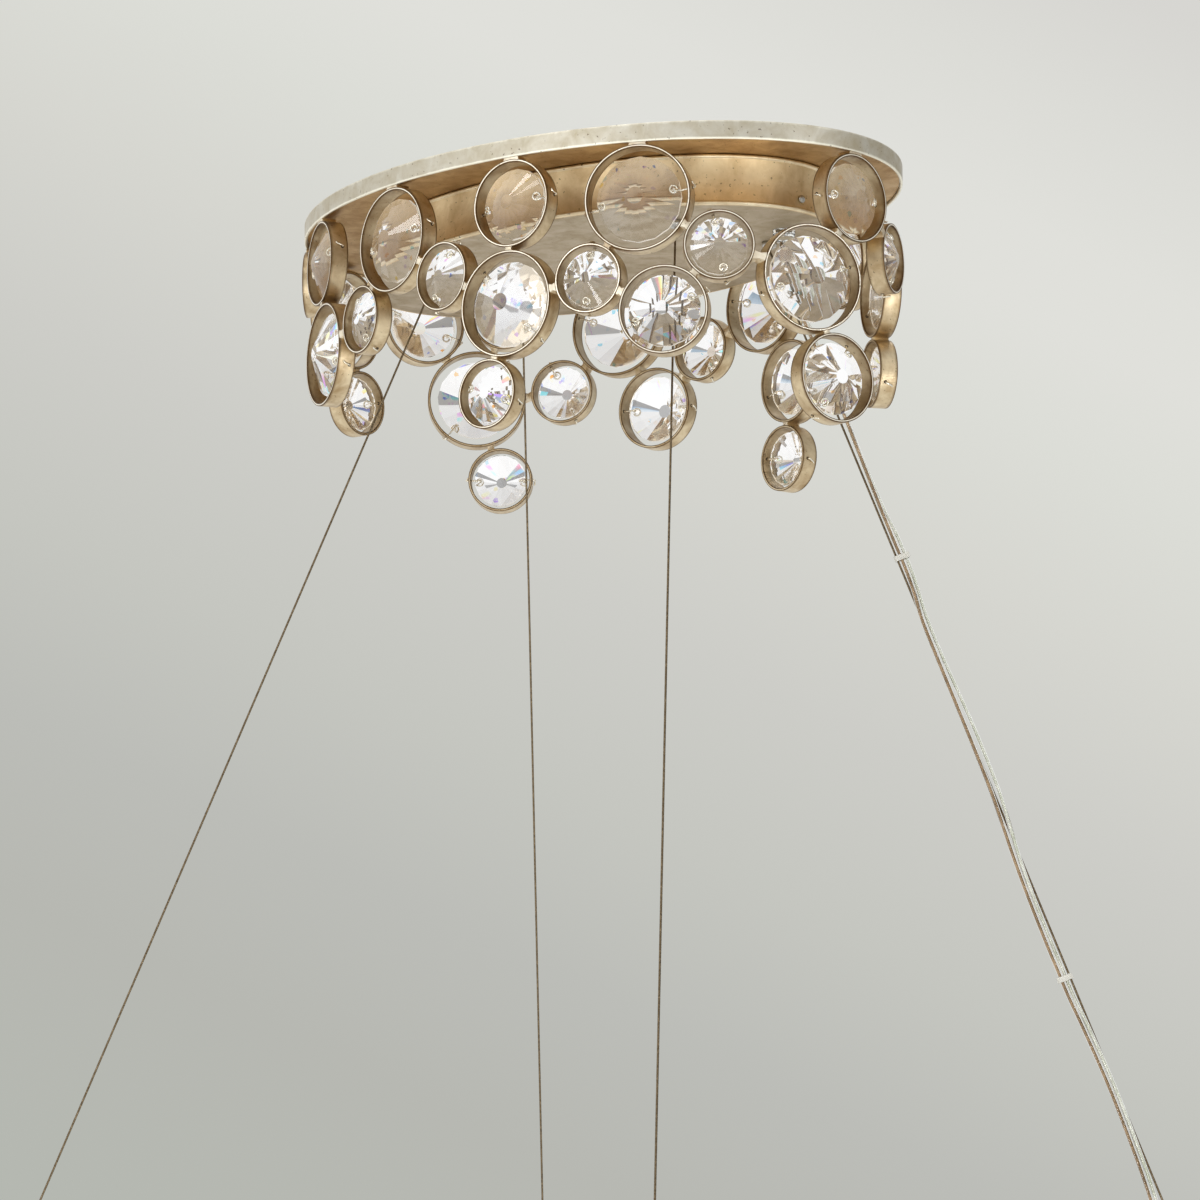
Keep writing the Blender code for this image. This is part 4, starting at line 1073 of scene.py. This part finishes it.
shine = blend_colours(tree, rays["Is Transmission Ray"], (0.92, 0.92, 0.9, 1), white)
glow = node(tree, "ShaderNodeEmission", Color=shine, Strength=1)
mixed = node(tree, "ShaderNodeMixShader")
for socket, source in zip(mixed.inputs, (shown, shader.outputs[0], glow.outputs[0])):
    tree.links.new(source, socket)
tree.links.new(mixed.outputs[0], tree.nodes["Material Output"].inputs["Surface"])
floor.data.materials.append(pale_floor)

world = bpy.data.worlds.new("studio")
scene.world = world
world.use_nodes = True
tree = world.node_tree
view = node(tree, "ShaderNodeTexCoord").outputs["Generated"]


def graded(direction, reach, stops):
    """A colour that changes along a direction of view, as far as that reach either way."""
    along = vector_math(tree, "DOT_PRODUCT", view, direction.normalized()).outputs["Value"]
    return colour_ramp(tree, spread_range(tree, along, -reach, reach), stops)


backdrop_stops = [
    (0, rgb(181, 184, 177)),
    (0.16, rgb(183, 184, 178)),
    (0.27, rgb(188, 189, 184)),
    (0.38, rgb(197, 198, 192)),
    (0.5, rgb(205, 205, 200)),
    (0.62, rgb(214, 214, 208)),
    (0.72, rgb(220, 221, 215)),
    (0.79, rgb(224, 224, 219)),
    (0.84, rgb(224, 224, 219)),
    (0.92, rgb(220, 220, 215)),
    (1, rgb(215, 214, 210)),
]
room_stops = [
    (0, (0.5, 0.5, 0.49, 1)),
    (0.4, (0.68, 0.68, 0.67, 1)),
    (0.7, (0.92, 0.92, 0.91, 1)),
    (1, (1.1, 1.1, 1.08, 1)),
]
glimpse_levels = ((0.615, 1), (0.62, 0.3), (0.655, 0.42), (0.66, 0.86), (0.8, 0.78), (1, 0.5))
glimpse_stops = [(position, (value, value, value, 1)) for position, value in glimpse_levels]
backdrop = graded(upright * 0.894 + right * 0.447, 0.16, backdrop_stops)
room = graded(toward * 0.25 - right * 0.85 - up * 0.45, 1, room_stops)


def glimpse(shift):
    """What the crystals show beyond the lamp: white below, a grey band and a paler top, with dark strokes."""
    moved = vector_math(tree, "ADD", view, (shift, shift, shift)).outputs[0]
    parts = node(tree, "ShaderNodeSeparateXYZ", Vector=moved)
    bands = colour_ramp(tree, spread_range(tree, parts.outputs[2], -1, 1), glimpse_stops)
    flat = vector_math(tree, "MULTIPLY", moved, (1, 1, 3)).outputs[0]
    strokes = node(tree, "ShaderNodeTexNoise", Vector=flat, Scale=14, Detail=3, Roughness=0.6)
    return compute(tree, "MULTIPLY", bands, spread_range(tree, strokes.outputs["Fac"], 0.62, 0.66, 1, 0.4))


behind = node(tree, "ShaderNodeCombineColor")
for socket, shift in zip(behind.inputs, (0.002, 0, -0.002)):
    tree.links.new(glimpse(shift), socket)
rays = node(tree, "ShaderNodeLightPath").outputs
seen = blend_colours(tree, rays["Is Camera Ray"], (0.72, 0.72, 0.71, 1), backdrop)
seen = blend_colours(tree, rays["Is Glossy Ray"], seen, room)
seen = blend_colours(tree, rays["Is Transmission Ray"], seen, behind.outputs[0])
tree.links.new(seen, tree.nodes["Background"].inputs["Color"])

# Three large soft lamps light it, and narrow strip lamps on the camera's side put bright lines on the metal
# and on the crystals' faces. No lamp shows to the camera or through the glass.
aim = Vector((0, 0, -0.1))


def softbox(name, place, wide, tall, power):
    """A soft lamp of that width and height, aimed at the chandelier."""
    lamp = bpy.data.lights.new(name, "AREA")
    lamp.shape = "RECTANGLE"
    lamp.size = wide
    lamp.size_y = tall
    lamp.energy = power
    made = bpy.data.objects.new(name, lamp)
    scene.collection.objects.link(made)
    made.location = place
    made.rotation_euler = (Vector(place) - aim).to_track_quat("Z", "Y").to_euler()
    made.visible_camera = False
    made.visible_transmission = False


softbox("key", (-1.6, -3.8, 0.1), 3.4, 3.4, 4)
softbox("side", (3.8, 1.2, -0.2), 2.4, 2.4, 4)
softbox("top", (-0.6, 0.6, 2.6), 2.6, 2.6, 24)
for name, near, aside, high, wide, tall, power in (
    ("strip_left", 2.2, -2.4, 0.5, 0.26, 2, 7),
    ("strip_right", 2, 2.2, 1.2, 0.12, 1.8, 5),
    ("strip_low", 2.2, -0.6, -0.9, 1.8, 0.12, 6),
    ("strip_high", 1.8, -0.4, 2.2, 2, 0.14, 4),
    ("strip_high_left", 1.2, -1.9, 2, 0.14, 1.6, 5),
    ("strip_below", 1.9, 0.3, -1.5, 1.6, 0.2, 8),
    ("strip_low_right", 2.4, 1.5, -0.8, 0.12, 0.9, 7),
):
    softbox(name, toward * near + right * aside + up * high, wide, tall, power)

scene.view_settings.view_transform = "Standard"
